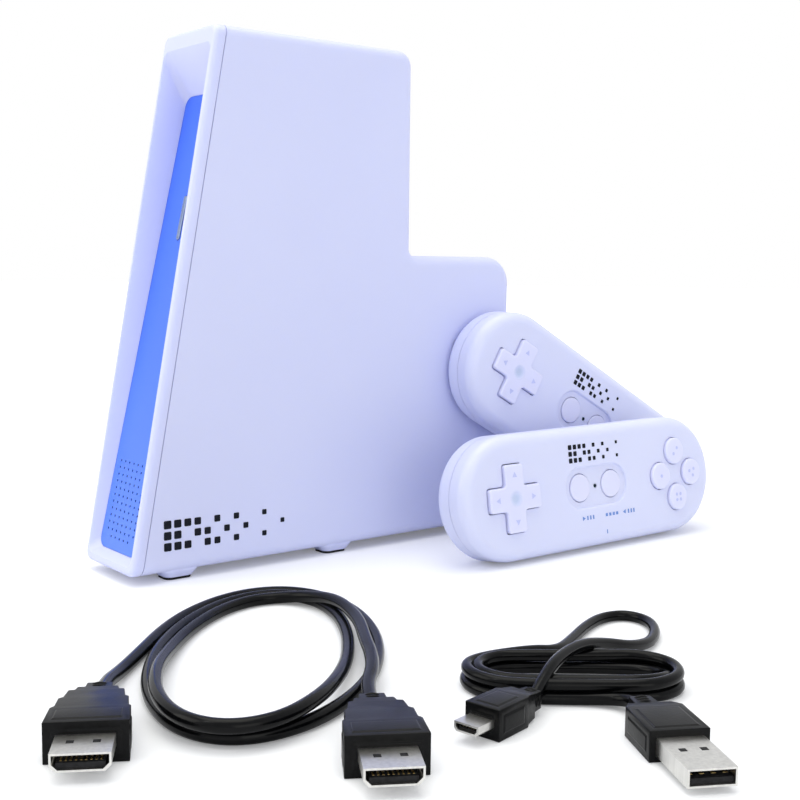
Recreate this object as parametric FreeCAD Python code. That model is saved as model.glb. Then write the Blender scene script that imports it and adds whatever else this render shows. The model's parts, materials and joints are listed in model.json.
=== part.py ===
import FreeCAD, Part
import math
import os

V = FreeCAD.Vector

# A plug-in TV game console that stands on edge, its two wireless controllers and its two leads.
# Millimetres. While the pieces are built, X is the console's width, the front faces -Y, and Z
# starts at the underside of the casing. The last lines move everything to the common origin.

# Console casing
CASE_WIDTH = 40.0
CASE_HEIGHT = 200.0
FRONT_SLANT = 36.7          # the front face leans back this far over its height
TOWER_REAR = 128.6          # rear of the tall part
DECK_REAR = 185.0           # rear of the low part
DECK_HEIGHT = 117.4
TOWER_CORNER = 6.5
DECK_CORNER = 12.0
NOTCH_CORNER = 3.0
HEEL_CORNER = 5.0
CASE_EDGE = 4.0             # rounding of the long edges
RIM_EDGE = 1.8              # rounding of the rim round the front recess
WALL = 2.0
FIT = 0.15                  # clearance of pieces that nest
SEAM_GAP = 0.3              # shadow line between bezel and casing halves
BEZEL_DEPTH = 4.3           # bezel rim, measured square to the front face
LIP_LENGTH = 3.0
LIP_THICK = 1.3

# Funnel-shaped front recess with the blue panel at its floor
RIM_WIDTH = 2.2
RECESS_BOTTOM = 3.5         # along the front face
RECESS_TOP_MARGIN = 6.4
RECESS_CORNER = 3.0
PANEL_DEPTH = 2.6           # depth of the panel's plane at the foot of the front face
PANEL_SINK = 0.0448         # how much deeper it lies per millimetre of height
PANEL_INSET = 2.8           # panel edge inside the recess mouth, at each side
PANEL_BOTTOM = 6.6
PANEL_TOP_MARGIN = 20.9
PANEL_CORNER = 4.0
PANEL_THICK = 1.6
PANEL_SEAT = 2.0            # thickness of the floor behind the panel
FUNNEL_WALL = 1.8

# Speaker grille and speaker
GRILLE_COLUMNS = 7
GRILLE_ROWS = 11
GRILLE_SHORT_ROW = 5
GRILLE_ACROSS = 3.45
GRILLE_DOWN = 2.61
GRILLE_START = 14.0         # height of the lowest full row on the panel
GRILLE_HOLE = 1.0
SPEAKER_RADIUS = 12.0
SPEAKER_OPENING = 10.0
SPEAKER_RIM = 2.0
MAGNET_RADIUS = 7.0
MAGNET_LENGTH = 5.0

# Power button
POWER_HEIGHT = 134.3        # along the panel
POWER_LENGTH = 17.0
POWER_WIDTH = 2.4
POWER_PROUD = 0.4
POWER_EDGE = 0.3
POWER_CLEARANCE = 0.3
POWER_FLANGE = 1.3
POWER_FLANGE_THICK = 1.0

# Indicator board behind the panel
LED_WINDOW_HALF = 10.0
LED_WINDOW_LOW = 60.0
LED_WINDOW_TOP_MARGIN = 12.0
LED_BOARD_LAP = 2.5
BOARD_THICK = 1.2
LED_SIZE = 3.0
LED_HEIGHT = 1.2
LED_ROWS = (70.0, 95.0, 160.0)

# Feet
FOOT_LENGTH = 16.4
FOOT_WIDTH = 12.0
FOOT_TAPER = 2.4
FOOT_HEIGHT = 2.4
FOOT_CORNER = 4.0
PAD_THICK = 1.0
PAD_INSET = 0.4
FOOT_FROM_SIDE = 7.6        # foot centre inside the casing's side
FOOT_PLACES = (21.4, 92.8, DECK_REAR - 22.0)
STAND = FOOT_HEIGHT + PAD_THICK

# Main board and sockets, standing in the low rear part
MAIN_BOARD_X = -6.0
MAIN_BOARD_THICK = 1.6
MAIN_BOARD_FRONT = 78.0
MAIN_BOARD_LOW = 24.0
MAIN_BOARD_MARGIN = 19.0    # board edge below the deck's top
MAIN_BOARD_REAR = 4.0       # board edge ahead of the rear wall's inner face
POST_RADIUS = 2.4
POST_INSET = 5.0
HDMI_HEIGHT = 72.0
HDMI_WIDE = 15.0
HDMI_THICK = 5.9
HDMI_LONG = 11.5
POWER_SOCKET_HEIGHT = 44.0
POWER_SOCKET_WIDE = 8.4
POWER_SOCKET_THICK = 3.4
POWER_SOCKET_LONG = 7.0
SOCKET_CLEARANCE = 0.4
SOCKET_SKIN = 0.5           # sheet of both sockets' shells
SOCKET_SUNK = 0.4           # mouths inside the rear face

# Screws that close the casing halves: distance from the front face's foot, height
BOSS_BELOW_TOP = 11.0
CASE_BOSSES = ((34.0, 12.0), (DECK_REAR - 23.0, 12.0), (72.0, CASE_HEIGHT - BOSS_BELOW_TOP),
               (TOWER_REAR - 13.6, CASE_HEIGHT - BOSS_BELOW_TOP), (DECK_REAR - 18.0, DECK_HEIGHT - 10.4))
BOSS_RADIUS = 3.6
SCREW_RADIUS = 1.4
SCREW_HEAD_RADIUS = 2.7
SCREW_HEAD_THICK = 1.8
SCREW_LENGTH = 16.0
SCREW_SINK = 12.0           # head sits this deep in the left side
HEAD_CLEARANCE = 0.3        # of a screw's head in its hole, on the casing and the controllers
BOSS_EXTRA = 0.6            # bosses round the heads' holes are this much larger
CROSS_SLOT = (1.6, 0.35, 0.7)   # half length, half width and depth of the slots in a head

# Controller
PAD_LENGTH = 146.0
PAD_HEIGHT = 50.0
PAD_DEPTH = 18.0
PAD_EDGE = 4.5
PAD_WALL = 1.8
PAD_SEAM = 9.0              # depth of the parting line below the face
PAD_SEAM_GAP = 0.2
PAD_LIP = 1.5

CROSS_FROM_END = 25.5
CROSS_CENTRE = CROSS_FROM_END - PAD_LENGTH / 2
CROSS_ARM = 13.4
CROSS_WIDTH = 9.5
CROSS_CORNER = 1.3
CROSS_PROUD = 1.7
CROSS_CLEARANCE = 0.4
CROSS_FLANGE_RADIUS = 9.0
CROSS_FLANGE_TOP = 2.6
CROSS_FLANGE_BOTTOM = 3.2
CROSS_DIMPLE_RADIUS = 3.0
CROSS_DIMPLE_DEPTH = 0.6
BALL_RADIUS = 1.8
BALL_DEPTH = 1.4
BALL_CLEARANCE = 0.06
POST_CUP_TOP = 2.4

FACE_RADIUS = 5.75
FACE_PROUD = 1.5
FACE_DOME = 0.9
BUTTON_CLEARANCE = 0.3
BUTTON_LAP = 1.0            # flange beyond the button's side
BUTTON_FLANGE_THICK = 0.7
BUTTON_REST_GAP = 0.1
FACE_KEY_GAP = 0.713        # between the flanges of neighbouring face buttons
FACE_FROM_END = 7.7         # outermost flange inside the controller's end
FACE_OFFSET = (2 * (FACE_RADIUS + BUTTON_LAP) + FACE_KEY_GAP) / math.sqrt(2)
FACE_CENTRE = PAD_LENGTH / 2 - FACE_FROM_END - FACE_OFFSET - FACE_RADIUS - BUTTON_LAP

POCKET_CENTRE = -0.5
POCKET_LENGTH = 36.0
POCKET_HEIGHT = 17.0
POCKET_DEPTH = 1.1
POCKET_FLOOR = 1.6
POCKET_MARGIN = 2.0         # thick floor beyond the pocket's outline, behind the face
POCKET_ROUND = 0.6          # softening of the pocket's rim and of its floor's edge
OPTION_OFFSET = 9.2
OPTION_RADIUS = 5.65
OPTION_PROUD = 0.5          # above the pocket's floor
OPTION_DOME = 0.4
LED_DOT_RADIUS = 0.75
LED_DOT_CLEARANCE = 0.2

RUBBER_TOP = 4.1
RUBBER_THICK = 0.6
PAD_BOARD_THICK = 1.0
PAD_BOARD_LENGTH = PAD_LENGTH - 24.0
PAD_BOARD_HEIGHT = PAD_HEIGHT - 16.0
RUBBER_INSET = 1.5

CELL_RADIUS = 5.25
CELL_LENGTH = 43.5
CELL_NUB_RADIUS = 1.9
CELL_NUB_LENGTH = 1.0
CELL_GAP = 0.4
CELL_TOP_GAP = 0.2          # cells below the board
CONTACT_THICK = 0.5
BAY_CLEARANCE = 0.3
BAY_WALL = 1.4
COVER_THICK = 1.5
COVER_LAP = 2.0
COVER_CLEARANCE = 0.2
COVER_SLIDE_GAP = 0.05
LEDGE_THICK = 1.0

BOSS_END_X = PAD_LENGTH / 2 - 4.7
BOSS_SIDE_X = 33.0
BOSS_SIDE_Y = PAD_HEIGHT / 2 - 5.4
PAD_BOSSES = ((-BOSS_END_X, 0.0), (BOSS_END_X, 0.0), (-BOSS_SIDE_X, -BOSS_SIDE_Y),
              (BOSS_SIDE_X, -BOSS_SIDE_Y), (-BOSS_SIDE_X, BOSS_SIDE_Y), (BOSS_SIDE_X, BOSS_SIDE_Y))
PAD_BOSS_RADIUS = 2.3
PAD_BOSS_EXTRA = 0.4        # the back's bosses are this much larger
PAD_BOSS_CLEARANCE = 0.15
PAD_SCREW_RADIUS = 1.0
PAD_SCREW_HEAD = 1.9
PAD_SCREW_HEAD_THICK = 1.2
PAD_SCREW_SINK = 3.0
PAD_SCREW_TIP = 4.5         # the screw's tip behind the face
PAD_SCREW_LENGTH = PAD_DEPTH - PAD_SCREW_SINK - PAD_SCREW_TIP
PAD_CROSS_SLOT = (1.1, 0.25, 0.5)

# Where the controllers rest: face centre, then yaw, backward lean and turn in degrees
PAD_PLACES = {
    "controller_1": (V(76.4, 183.2, 23.65), -0.85, 8.5, -0.29),
    "controller_2": (V(41.8, 212.3, 45.3), -3.0, 0.0, 29.57),
}

# Leads, on the same surface as the feet
HDMI_CORD = 4.0
HDMI_COIL_CENTRE = V(114.8, -5.3, 0)
HDMI_COIL_HALF_WIDE = 31.0
HDMI_COIL_HALF_LONG = 66.0
HDMI_COIL_BAND = 13.0
HDMI_COIL_HIGH = 8.6
USB_CORD = 3.5
USB_HANK_CENTRE = V(180.5, 57.6, 0)
USB_HANK_HIGH = 7.2
LEAD_TURN = 51.4            # the leads lie square to this heading

nodes = {}


def rounded_wire(corners, radii):
    """A closed flat wire through the corners, each rounded by its own radius, or sharp at 0."""
    count = len(corners)
    points = [V(x, y, 0) for x, y in corners]
    arcs = []
    for i in range(count):
        corner = points[i]
        back = (points[i - 1] - corner).normalize()
        ahead = (points[(i + 1) % count] - corner).normalize()
        half = back.getAngle(ahead) / 2
        reach = radii[i] / math.tan(half)
        middle = corner + (back + ahead).normalize() * (radii[i] / math.sin(half) - radii[i])
        arcs.append((corner + back * reach, middle, corner + ahead * reach))
    edges = []
    for i in range(count):
        if radii[i] > 0:
            edges.append(Part.Arc(*arcs[i]).toShape())
        edges.append(Part.makeLine(arcs[i][2], arcs[(i + 1) % count][0]))
    return Part.Wire(edges)


def inset_corners(corners, depth):
    """The corners of a counter-clockwise outline whose sides are all moved inwards."""
    lines = []
    for i, (x0, y0) in enumerate(corners):
        x1, y1 = corners[(i + 1) % len(corners)]
        length = math.hypot(x1 - x0, y1 - y0)
        ux, uy = (x1 - x0) / length, (y1 - y0) / length
        lines.append((x0 - uy * depth, y0 + ux * depth, ux, uy))
    result = []
    for i in range(len(corners)):
        x0, y0, ux, uy = lines[i - 1]
        x1, y1, vx, vy = lines[i]
        step = ((x1 - x0) * vy - (y1 - y0) * vx) / (ux * vy - uy * vx)
        result.append((x0 + ux * step, y0 + uy * step))
    return result


def prism(wire, low, high):
    """A solid on a flat wire, from one height to another along its Z axis."""
    base = Part.Face(wire)
    base.translate(V(0, 0, low))
    return base.extrude(V(0, 0, high - low))


def box(x0, x1, y0, y1, z0, z1):
    return Part.makeBox(x1 - x0, y1 - y0, z1 - z0, V(x0, y0, z0))


def rectangle(half_x, y0, y1, radius):
    corners = [(-half_x, y0), (half_x, y0), (half_x, y1), (-half_x, y1)]
    return rounded_wire(corners, [radius] * 4)


def stadium(length, height, centre_x=0.0, centre_y=0.0):
    """A wire with two straight sides along X and round ends."""
    r = height / 2
    c = length / 2 - r
    left = V(centre_x - c, centre_y, 0)
    right = V(centre_x + c, centre_y, 0)
    return Part.Wire([
        Part.makeLine(left - V(0, r, 0), right - V(0, r, 0)),
        Part.Arc(right - V(0, r, 0), right + V(r, 0, 0), right + V(0, r, 0)).toShape(),
        Part.makeLine(right + V(0, r, 0), left + V(0, r, 0)),
        Part.Arc(left + V(0, r, 0), left - V(r, 0, 0), left - V(0, r, 0)).toShape(),
    ])


def disc(radius, x, y, low, high):
    return Part.makeCylinder(radius, high - low, V(x, y, low))


def placed(shape, frame):
    copy = shape.copy()
    copy.Placement = frame.multiply(copy.Placement)
    return copy


def rounded_at(shape, height, radius):
    """Rounds every edge that lies wholly at one height."""
    edges = []
    for edge in shape.Edges:
        bounds = edge.BoundBox
        if abs(bounds.ZMin - height) < 1e-4 and abs(bounds.ZMax - height) < 1e-4:
            edges.append(edge)
    return shape.makeFillet(radius, edges)


def joined(first, *others):
    return first.fuse(list(others)).removeSplitter()


# The side outline, as (distance from the front's foot, height)
OUTLINE = [(0, 0), (DECK_REAR, 0), (DECK_REAR, DECK_HEIGHT), (TOWER_REAR, DECK_HEIGHT),
           (TOWER_REAR, CASE_HEIGHT), (FRONT_SLANT, CASE_HEIGHT)]
FRONT_LENGTH = math.hypot(FRONT_SLANT, CASE_HEIGHT)
SLANT_ANGLE = math.degrees(math.atan2(FRONT_SLANT, CASE_HEIGHT))
SIDE_FRAME = FreeCAD.Placement(V(0, 0, 0), FreeCAD.Rotation(V(1, 1, 1), 120))
FRONT_FRAME = FreeCAD.Placement(V(0, 0, 0), FreeCAD.Rotation(V(1, 0, 0), 90 - SLANT_ANGLE))
PANEL_TILT = math.degrees(math.atan(PANEL_SINK))
PANEL_FRAME = FRONT_FRAME.multiply(
    FreeCAD.Placement(V(0, 0, -PANEL_DEPTH), FreeCAD.Rotation(V(1, 0, 0), -PANEL_TILT)))
HALF = CASE_WIDTH / 2
FAR = 2 * (CASE_HEIGHT + DECK_REAR)     # larger than the whole console, for cutting


def case_body(depth):
    """The casing's outer form, or the same form with every wall moved in by a depth."""
    corners = inset_corners(OUTLINE, depth)
    radii = [0, max(HEEL_CORNER - depth, 0), DECK_CORNER - depth, NOTCH_CORNER + depth,
             TOWER_CORNER - depth, 0]
    return placed(prism(rounded_wire(corners, radii), depth - HALF, HALF - depth), SIDE_FRAME)


def front_distance(point):
    return point.dot(FRONT_FRAME.Rotation.multVec(V(0, 0, 1)))


def front_slab(low, high):
    """All the space between two depths below the front face."""
    return placed(box(-FAR, FAR, -FAR, FAR, low, high), FRONT_FRAME)


def outer_case():
    """The casing with rounded long edges and a rounded rim round the front face."""
    body = case_body(0)
    sides = []
    for edge in body.Edges:
        bounds = edge.BoundBox
        on_side = abs(bounds.XMax - bounds.XMin) < 1e-4
        on_front = all(front_distance(v.Point) > -0.1 for v in edge.Vertexes)
        if on_side and not on_front:
            sides.append(edge)
    body = body.makeFillet(CASE_EDGE, sides)
    front = [e for e in body.Edges if all(front_distance(v.Point) > -0.02 for v in e.Vertexes)
             and front_distance(e.CenterOfMass) > -0.02]
    return body.makeFillet(RIM_EDGE, front)


def recess_wires(grow):
    """The recess's mouth on the front face and its floor outline on the panel's plane."""
    mouth_half = HALF - RIM_WIDTH
    mouth = rectangle(mouth_half + grow, RECESS_BOTTOM - grow,
                      FRONT_LENGTH - RECESS_TOP_MARGIN + grow, RECESS_CORNER + grow)
    floor = rectangle(mouth_half - PANEL_INSET + grow, PANEL_BOTTOM - grow,
                      FRONT_LENGTH - PANEL_TOP_MARGIN + grow, PANEL_CORNER + grow)
    return mouth, floor


def funnel(grow, floor_depth):
    """A solid from the recess's mouth to below the panel's plane."""
    mouth, floor = recess_wires(grow)
    sunk = placed(prism(floor, -floor_depth, 0), PANEL_FRAME)
    mouth.Placement = FRONT_FRAME.multiply(mouth.Placement)
    floor.Placement = PANEL_FRAME.multiply(floor.Placement)
    return Part.makeLoft([mouth, floor], True, True).fuse(sunk)


def power_slot(grow, low, high):
    """The upright stadium of the power button, grown all round."""
    wire = stadium(POWER_LENGTH + 2 * grow, POWER_WIDTH + 2 * grow)
    turn = FreeCAD.Placement(V(0, POWER_HEIGHT, 0), FreeCAD.Rotation(V(0, 0, 1), 90))
    return placed(prism(wire, low, high), turn)


PANEL_TOP = FRONT_LENGTH - PANEL_TOP_MARGIN
SPEAKER_HEIGHT = GRILLE_START + GRILLE_DOWN * (GRILLE_ROWS - 1) / 2


def build_bezel(case):
    rim = case.common(front_slab(-BEZEL_DEPTH, FAR))
    nest = case_body(WALL + FIT)
    lip = nest.cut(case_body(WALL + FIT + LIP_THICK))
    lip = lip.common(front_slab(-BEZEL_DEPTH - LIP_LENGTH, -BEZEL_DEPTH))
    funnel_walls = funnel(FUNNEL_WALL, PANEL_THICK + PANEL_SEAT).common(nest)
    bezel = joined(rim, lip, funnel_walls).cut(funnel(0, PANEL_THICK))
    floor_low = -PANEL_THICK - PANEL_SEAT
    window_top = PANEL_TOP - LED_WINDOW_TOP_MARGIN
    window = prism(rectangle(LED_WINDOW_HALF, LED_WINDOW_LOW, window_top, 2.0), floor_low - 1, 0)
    opening = disc(SPEAKER_OPENING, 0, SPEAKER_HEIGHT, floor_low - 1, 0)
    return bezel.cut(placed(window, PANEL_FRAME)).cut(placed(opening, PANEL_FRAME))


def build_panel():
    half = HALF - RIM_WIDTH - PANEL_INSET - FIT
    plate = prism(rectangle(half, PANEL_BOTTOM + FIT, PANEL_TOP - FIT, PANEL_CORNER - FIT),
                  -PANEL_THICK, 0)
    cuts = [power_slot(POWER_CLEARANCE, -PANEL_THICK - 1, 1)]
    for row in range(-1, GRILLE_ROWS):
        columns = GRILLE_SHORT_ROW if row < 0 else GRILLE_COLUMNS
        for column in range(columns):
            x = (column - (columns - 1) / 2) * GRILLE_ACROSS
            y = GRILLE_START + row * GRILLE_DOWN
            cuts.append(disc(GRILLE_HOLE / 2, x, y, -PANEL_THICK - 1, 1))
    return placed(plate.cut(Part.makeCompound(cuts)), PANEL_FRAME)


def build_power_button():
    stem = power_slot(0, -PANEL_THICK - BUTTON_REST_GAP - 0.2, POWER_PROUD)
    stem = rounded_at(stem, POWER_PROUD, POWER_EDGE)
    top = -PANEL_THICK - BUTTON_REST_GAP
    flange = power_slot(POWER_FLANGE, top - POWER_FLANGE_THICK, top)
    return placed(joined(stem, flange), PANEL_FRAME)


def build_led_board():
    top = -PANEL_THICK - PANEL_SEAT
    half = LED_WINDOW_HALF + LED_BOARD_LAP
    high = PANEL_TOP - LED_WINDOW_TOP_MARGIN + LED_BOARD_LAP
    board = box(-half, half, LED_WINDOW_LOW - LED_BOARD_LAP, high, top - BOARD_THICK, top)
    lamps = []
    for y in LED_ROWS:
        for x in (-LED_WINDOW_HALF / 2, LED_WINDOW_HALF / 2):
            lamps.append(box(x - LED_SIZE / 2, x + LED_SIZE / 2, y, y + LED_SIZE, top, top + LED_HEIGHT))
    return placed(joined(board, *lamps), PANEL_FRAME)


def build_speaker():
    top = -PANEL_THICK - PANEL_SEAT
    basket = disc(SPEAKER_RADIUS, 0, SPEAKER_HEIGHT, top - SPEAKER_RIM, top)
    cone = Part.makeCone(2.0, SPEAKER_OPENING - 1, SPEAKER_RIM - 0.6,
                         V(0, SPEAKER_HEIGHT, top - SPEAKER_RIM + 0.6))
    magnet = disc(MAGNET_RADIUS, 0, SPEAKER_HEIGHT, top - SPEAKER_RIM - MAGNET_LENGTH,
                  top - SPEAKER_RIM)
    return placed(joined(basket.cut(cone), magnet), PANEL_FRAME)


def foot(side, y):
    x = side * (HALF - FOOT_FROM_SIDE)
    top = rectangle(FOOT_WIDTH / 2, -FOOT_LENGTH / 2, FOOT_LENGTH / 2, FOOT_CORNER)
    low = rectangle(FOOT_WIDTH / 2 - FOOT_TAPER / 2, FOOT_TAPER - FOOT_LENGTH / 2,
                    FOOT_LENGTH / 2 - FOOT_TAPER, FOOT_CORNER - FOOT_TAPER / 2)
    root = prism(top, 0, WALL / 2)
    low.translate(V(0, 0, -FOOT_HEIGHT))
    body = Part.makeLoft([low, top], True, True).fuse(root)
    return placed(body, FreeCAD.Placement(V(x, y, 0), FreeCAD.Rotation()))


def foot_pad(side, y):
    x = side * (HALF - FOOT_FROM_SIDE)
    half_x = FOOT_WIDTH / 2 - FOOT_TAPER / 2 - PAD_INSET
    half_y = FOOT_LENGTH / 2 - FOOT_TAPER - PAD_INSET
    wire = rectangle(half_x, -half_y, half_y, FOOT_CORNER - FOOT_TAPER / 2 - PAD_INSET)
    pad = prism(wire, -STAND, -FOOT_HEIGHT)
    return placed(pad, FreeCAD.Placement(V(x, y, 0), FreeCAD.Rotation()))


def rod_x(radius, x0, x1, y, z):
    """A round bar along X."""
    return Part.makeCylinder(radius, x1 - x0, V(x0, y, z), V(1, 0, 0))


BOARD_FACE = MAIN_BOARD_X + MAIN_BOARD_THICK
BOARD_HIGH = DECK_HEIGHT - MAIN_BOARD_MARGIN
BOARD_BACK = DECK_REAR - WALL - MAIN_BOARD_REAR
SOCKET_END = DECK_REAR - SOCKET_SUNK


def socket_box(height, wide, thick, long, grow):
    """A socket's outer block on the main board, with its mouth at the rear wall."""
    return box(BOARD_FACE - min(grow, 0), BOARD_FACE + thick + grow, SOCKET_END - long - grow,
               SOCKET_END, height - wide / 2 - grow, height + wide / 2 + grow)


def build_hdmi_socket():
    shell = socket_box(HDMI_HEIGHT, HDMI_WIDE, HDMI_THICK, HDMI_LONG, 0)
    hollow = box(BOARD_FACE + SOCKET_SKIN, BOARD_FACE + HDMI_THICK - SOCKET_SKIN,
                 SOCKET_END - HDMI_LONG + 1.5, SOCKET_END + 1,
                 HDMI_HEIGHT - HDMI_WIDE / 2 + SOCKET_SKIN, HDMI_HEIGHT + HDMI_WIDE / 2 - SOCKET_SKIN)
    middle = BOARD_FACE + HDMI_THICK / 2
    tongue = box(middle - 0.5, middle + 0.5, SOCKET_END - HDMI_LONG + 1, SOCKET_END - 2,
                 HDMI_HEIGHT - HDMI_WIDE / 2 + 2.2, HDMI_HEIGHT + HDMI_WIDE / 2 - 2.2)
    return joined(shell.cut(hollow), tongue)


def build_power_socket():
    shell = socket_box(POWER_SOCKET_HEIGHT, POWER_SOCKET_WIDE, POWER_SOCKET_THICK,
                       POWER_SOCKET_LONG, 0)
    low = POWER_SOCKET_HEIGHT - POWER_SOCKET_WIDE / 2
    high = POWER_SOCKET_HEIGHT + POWER_SOCKET_WIDE / 2
    hollow = box(BOARD_FACE + SOCKET_SKIN, BOARD_FACE + POWER_SOCKET_THICK - SOCKET_SKIN,
                 SOCKET_END - POWER_SOCKET_LONG + 1, SOCKET_END + 1, low + SOCKET_SKIN,
                 high - SOCKET_SKIN)
    middle = BOARD_FACE + POWER_SOCKET_THICK / 2
    tongue = box(middle - 0.3, middle + 0.3, SOCKET_END - POWER_SOCKET_LONG + 0.5,
                 SOCKET_END - 1.5, low + 1.7, high - 1.7)
    return joined(shell.cut(hollow), tongue)


def socket_mouths():
    """Openings in the rear wall, a clearance larger than the two sockets."""
    c = SOCKET_CLEARANCE
    mouths = []
    for height, wide, thick in ((HDMI_HEIGHT, HDMI_WIDE, HDMI_THICK),
                                (POWER_SOCKET_HEIGHT, POWER_SOCKET_WIDE, POWER_SOCKET_THICK)):
        mouths.append(box(BOARD_FACE - c, BOARD_FACE + thick + c, DECK_REAR - 2 * WALL, DECK_REAR + 1,
                          height - wide / 2 - c, height + wide / 2 + c))
    return Part.makeCompound(mouths)


def build_halves(case):
    """The two moulded halves of the casing, with feet, screw bosses and board posts."""
    skin = case.cut(case_body(WALL)).common(front_slab(-FAR, -BEZEL_DEPTH - SEAM_GAP))
    skin = skin.cut(socket_mouths())
    inner = HALF - WALL / 2
    halves = {}
    for side, name in ((1, "right_shell"), (-1, "left_shell")):
        x0, x1 = (0, FAR) if side > 0 else (-FAR, 0)
        half = skin.common(box(x0, x1, -FAR, FAR, -FAR, FAR))
        extras = [foot(side, y) for y in FOOT_PLACES]
        cuts = []
        for y, z in CASE_BOSSES:
            if side > 0:
                extras.append(rod_x(BOSS_RADIUS, 0, inner, y, z))
                reach = SCREW_LENGTH + SCREW_SINK - HALF
                cuts.append(rod_x(SCREW_RADIUS, -1, reach, y, z))
            else:
                extras.append(rod_x(BOSS_RADIUS + BOSS_EXTRA, -inner, 0, y, z))
                cuts.append(rod_x(SCREW_RADIUS + FIT, -FAR, 1, y, z))
                cuts.append(rod_x(SCREW_HEAD_RADIUS + HEAD_CLEARANCE, -FAR, SCREW_SINK - HALF, y, z))
        if side < 0:
            for y in (MAIN_BOARD_FRONT + POST_INSET, BOARD_BACK - POST_INSET):
                for z in (MAIN_BOARD_LOW + POST_INSET, BOARD_HIGH - POST_INSET):
                    extras.append(rod_x(POST_RADIUS, -inner, MAIN_BOARD_X, y, z))
        halves[name] = joined(half, *extras).cut(Part.makeCompound(cuts))
    return halves


def build_case_screws():
    screws = []
    head = SCREW_SINK - HALF
    top = head - SCREW_HEAD_THICK
    long, wide, deep = CROSS_SLOT
    for y, z in CASE_BOSSES:
        cap = rod_x(SCREW_HEAD_RADIUS, top, head, y, z)
        slot = box(top - 1, top + deep, y - long, y + long, z - wide, z + wide)
        cross = box(top - 1, top + deep, y - wide, y + wide, z - long, z + long)
        shank = rod_x(SCREW_RADIUS, head, head + SCREW_LENGTH, y, z)
        screws.append(joined(cap, shank).cut(slot.fuse(cross)))
    return Part.makeCompound(screws)


def build_chips():
    """The packages on the main board: (front edge, low edge, length, height, thickness)."""
    packages = ((100, 60, 14, 14, 1.4), (122, 66, 9, 12, 1.1), (122, 46, 9, 12, 1.1),
                (98, 36, 8, 6, 1.8), (142, 40, 6, 6, 4.5), (142, 80, 8, 5, 1.2))
    solids = [box(BOARD_FACE, BOARD_FACE + thick, y, y + long, z, z + high)
              for y, z, long, high, thick in packages]
    return Part.makeCompound(solids)


def build_console():
    case = outer_case()
    nodes["front_bezel"] = build_bezel(case)
    nodes["front_panel"] = build_panel()
    nodes["power_button"] = build_power_button()
    nodes["led_board"] = build_led_board()
    nodes.update(build_halves(case))
    nodes["main_board"] = box(MAIN_BOARD_X, BOARD_FACE, MAIN_BOARD_FRONT, BOARD_BACK,
                              MAIN_BOARD_LOW, BOARD_HIGH)
    nodes["board_chips"] = build_chips()
    nodes["hdmi_socket"] = build_hdmi_socket()
    nodes["power_socket"] = build_power_socket()
    nodes["speaker"] = build_speaker()
    nodes["foot_pads"] = Part.makeCompound([foot_pad(s, y) for s in (1, -1) for y in FOOT_PLACES])
    nodes["case_screws"] = build_case_screws()


# Controller: X runs along it, Y up its face, and Z out of its face, which is at Z = 0

RUBBER_LOW = RUBBER_TOP + RUBBER_THICK
PAD_BOARD_LOW = RUBBER_LOW + PAD_BOARD_THICK
CELL_DEPTH = PAD_BOARD_LOW + CELL_TOP_GAP + CELL_RADIUS
CELL_OFFSET = CELL_RADIUS + CELL_GAP / 2
COVER_IN = PAD_DEPTH - COVER_THICK
BAY_HALF_X = CELL_LENGTH / 2 + CELL_NUB_LENGTH + CONTACT_THICK + BAY_CLEARANCE
BAY_HALF_Y = CELL_OFFSET + CELL_RADIUS + BAY_CLEARANCE
FACE_BUTTONS = {"a_button": (1, 0), "b_button": (0, -1), "x_button": (0, 1), "y_button": (-1, 0)}
OPTION_BUTTONS = {"start_button": -1, "select_button": 1}


def cross_wire(half_length, half_width, radius):
    """The outline of a plus sign with slightly rounded corners."""
    a, w = half_length, half_width
    corners = [(-w, -a), (w, -a), (w, -w), (a, -w), (a, w), (w, w), (w, a), (-w, a), (-w, w),
               (-a, w), (-a, -w), (-w, -w)]
    wire = rounded_wire(corners, [radius] * len(corners))
    wire.translate(V(CROSS_CENTRE, 0, 0))
    return wire


def pad_body(inset, low, high):
    return prism(stadium(PAD_LENGTH - 2 * inset, PAD_HEIGHT - 2 * inset), low, high)


def face_places():
    for name, (x, y) in FACE_BUTTONS.items():
        yield name, FACE_CENTRE + x * FACE_OFFSET, y * FACE_OFFSET


def option_places():
    for name, x in OPTION_BUTTONS.items():
        yield name, POCKET_CENTRE + x * OPTION_OFFSET, 0.0


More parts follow.
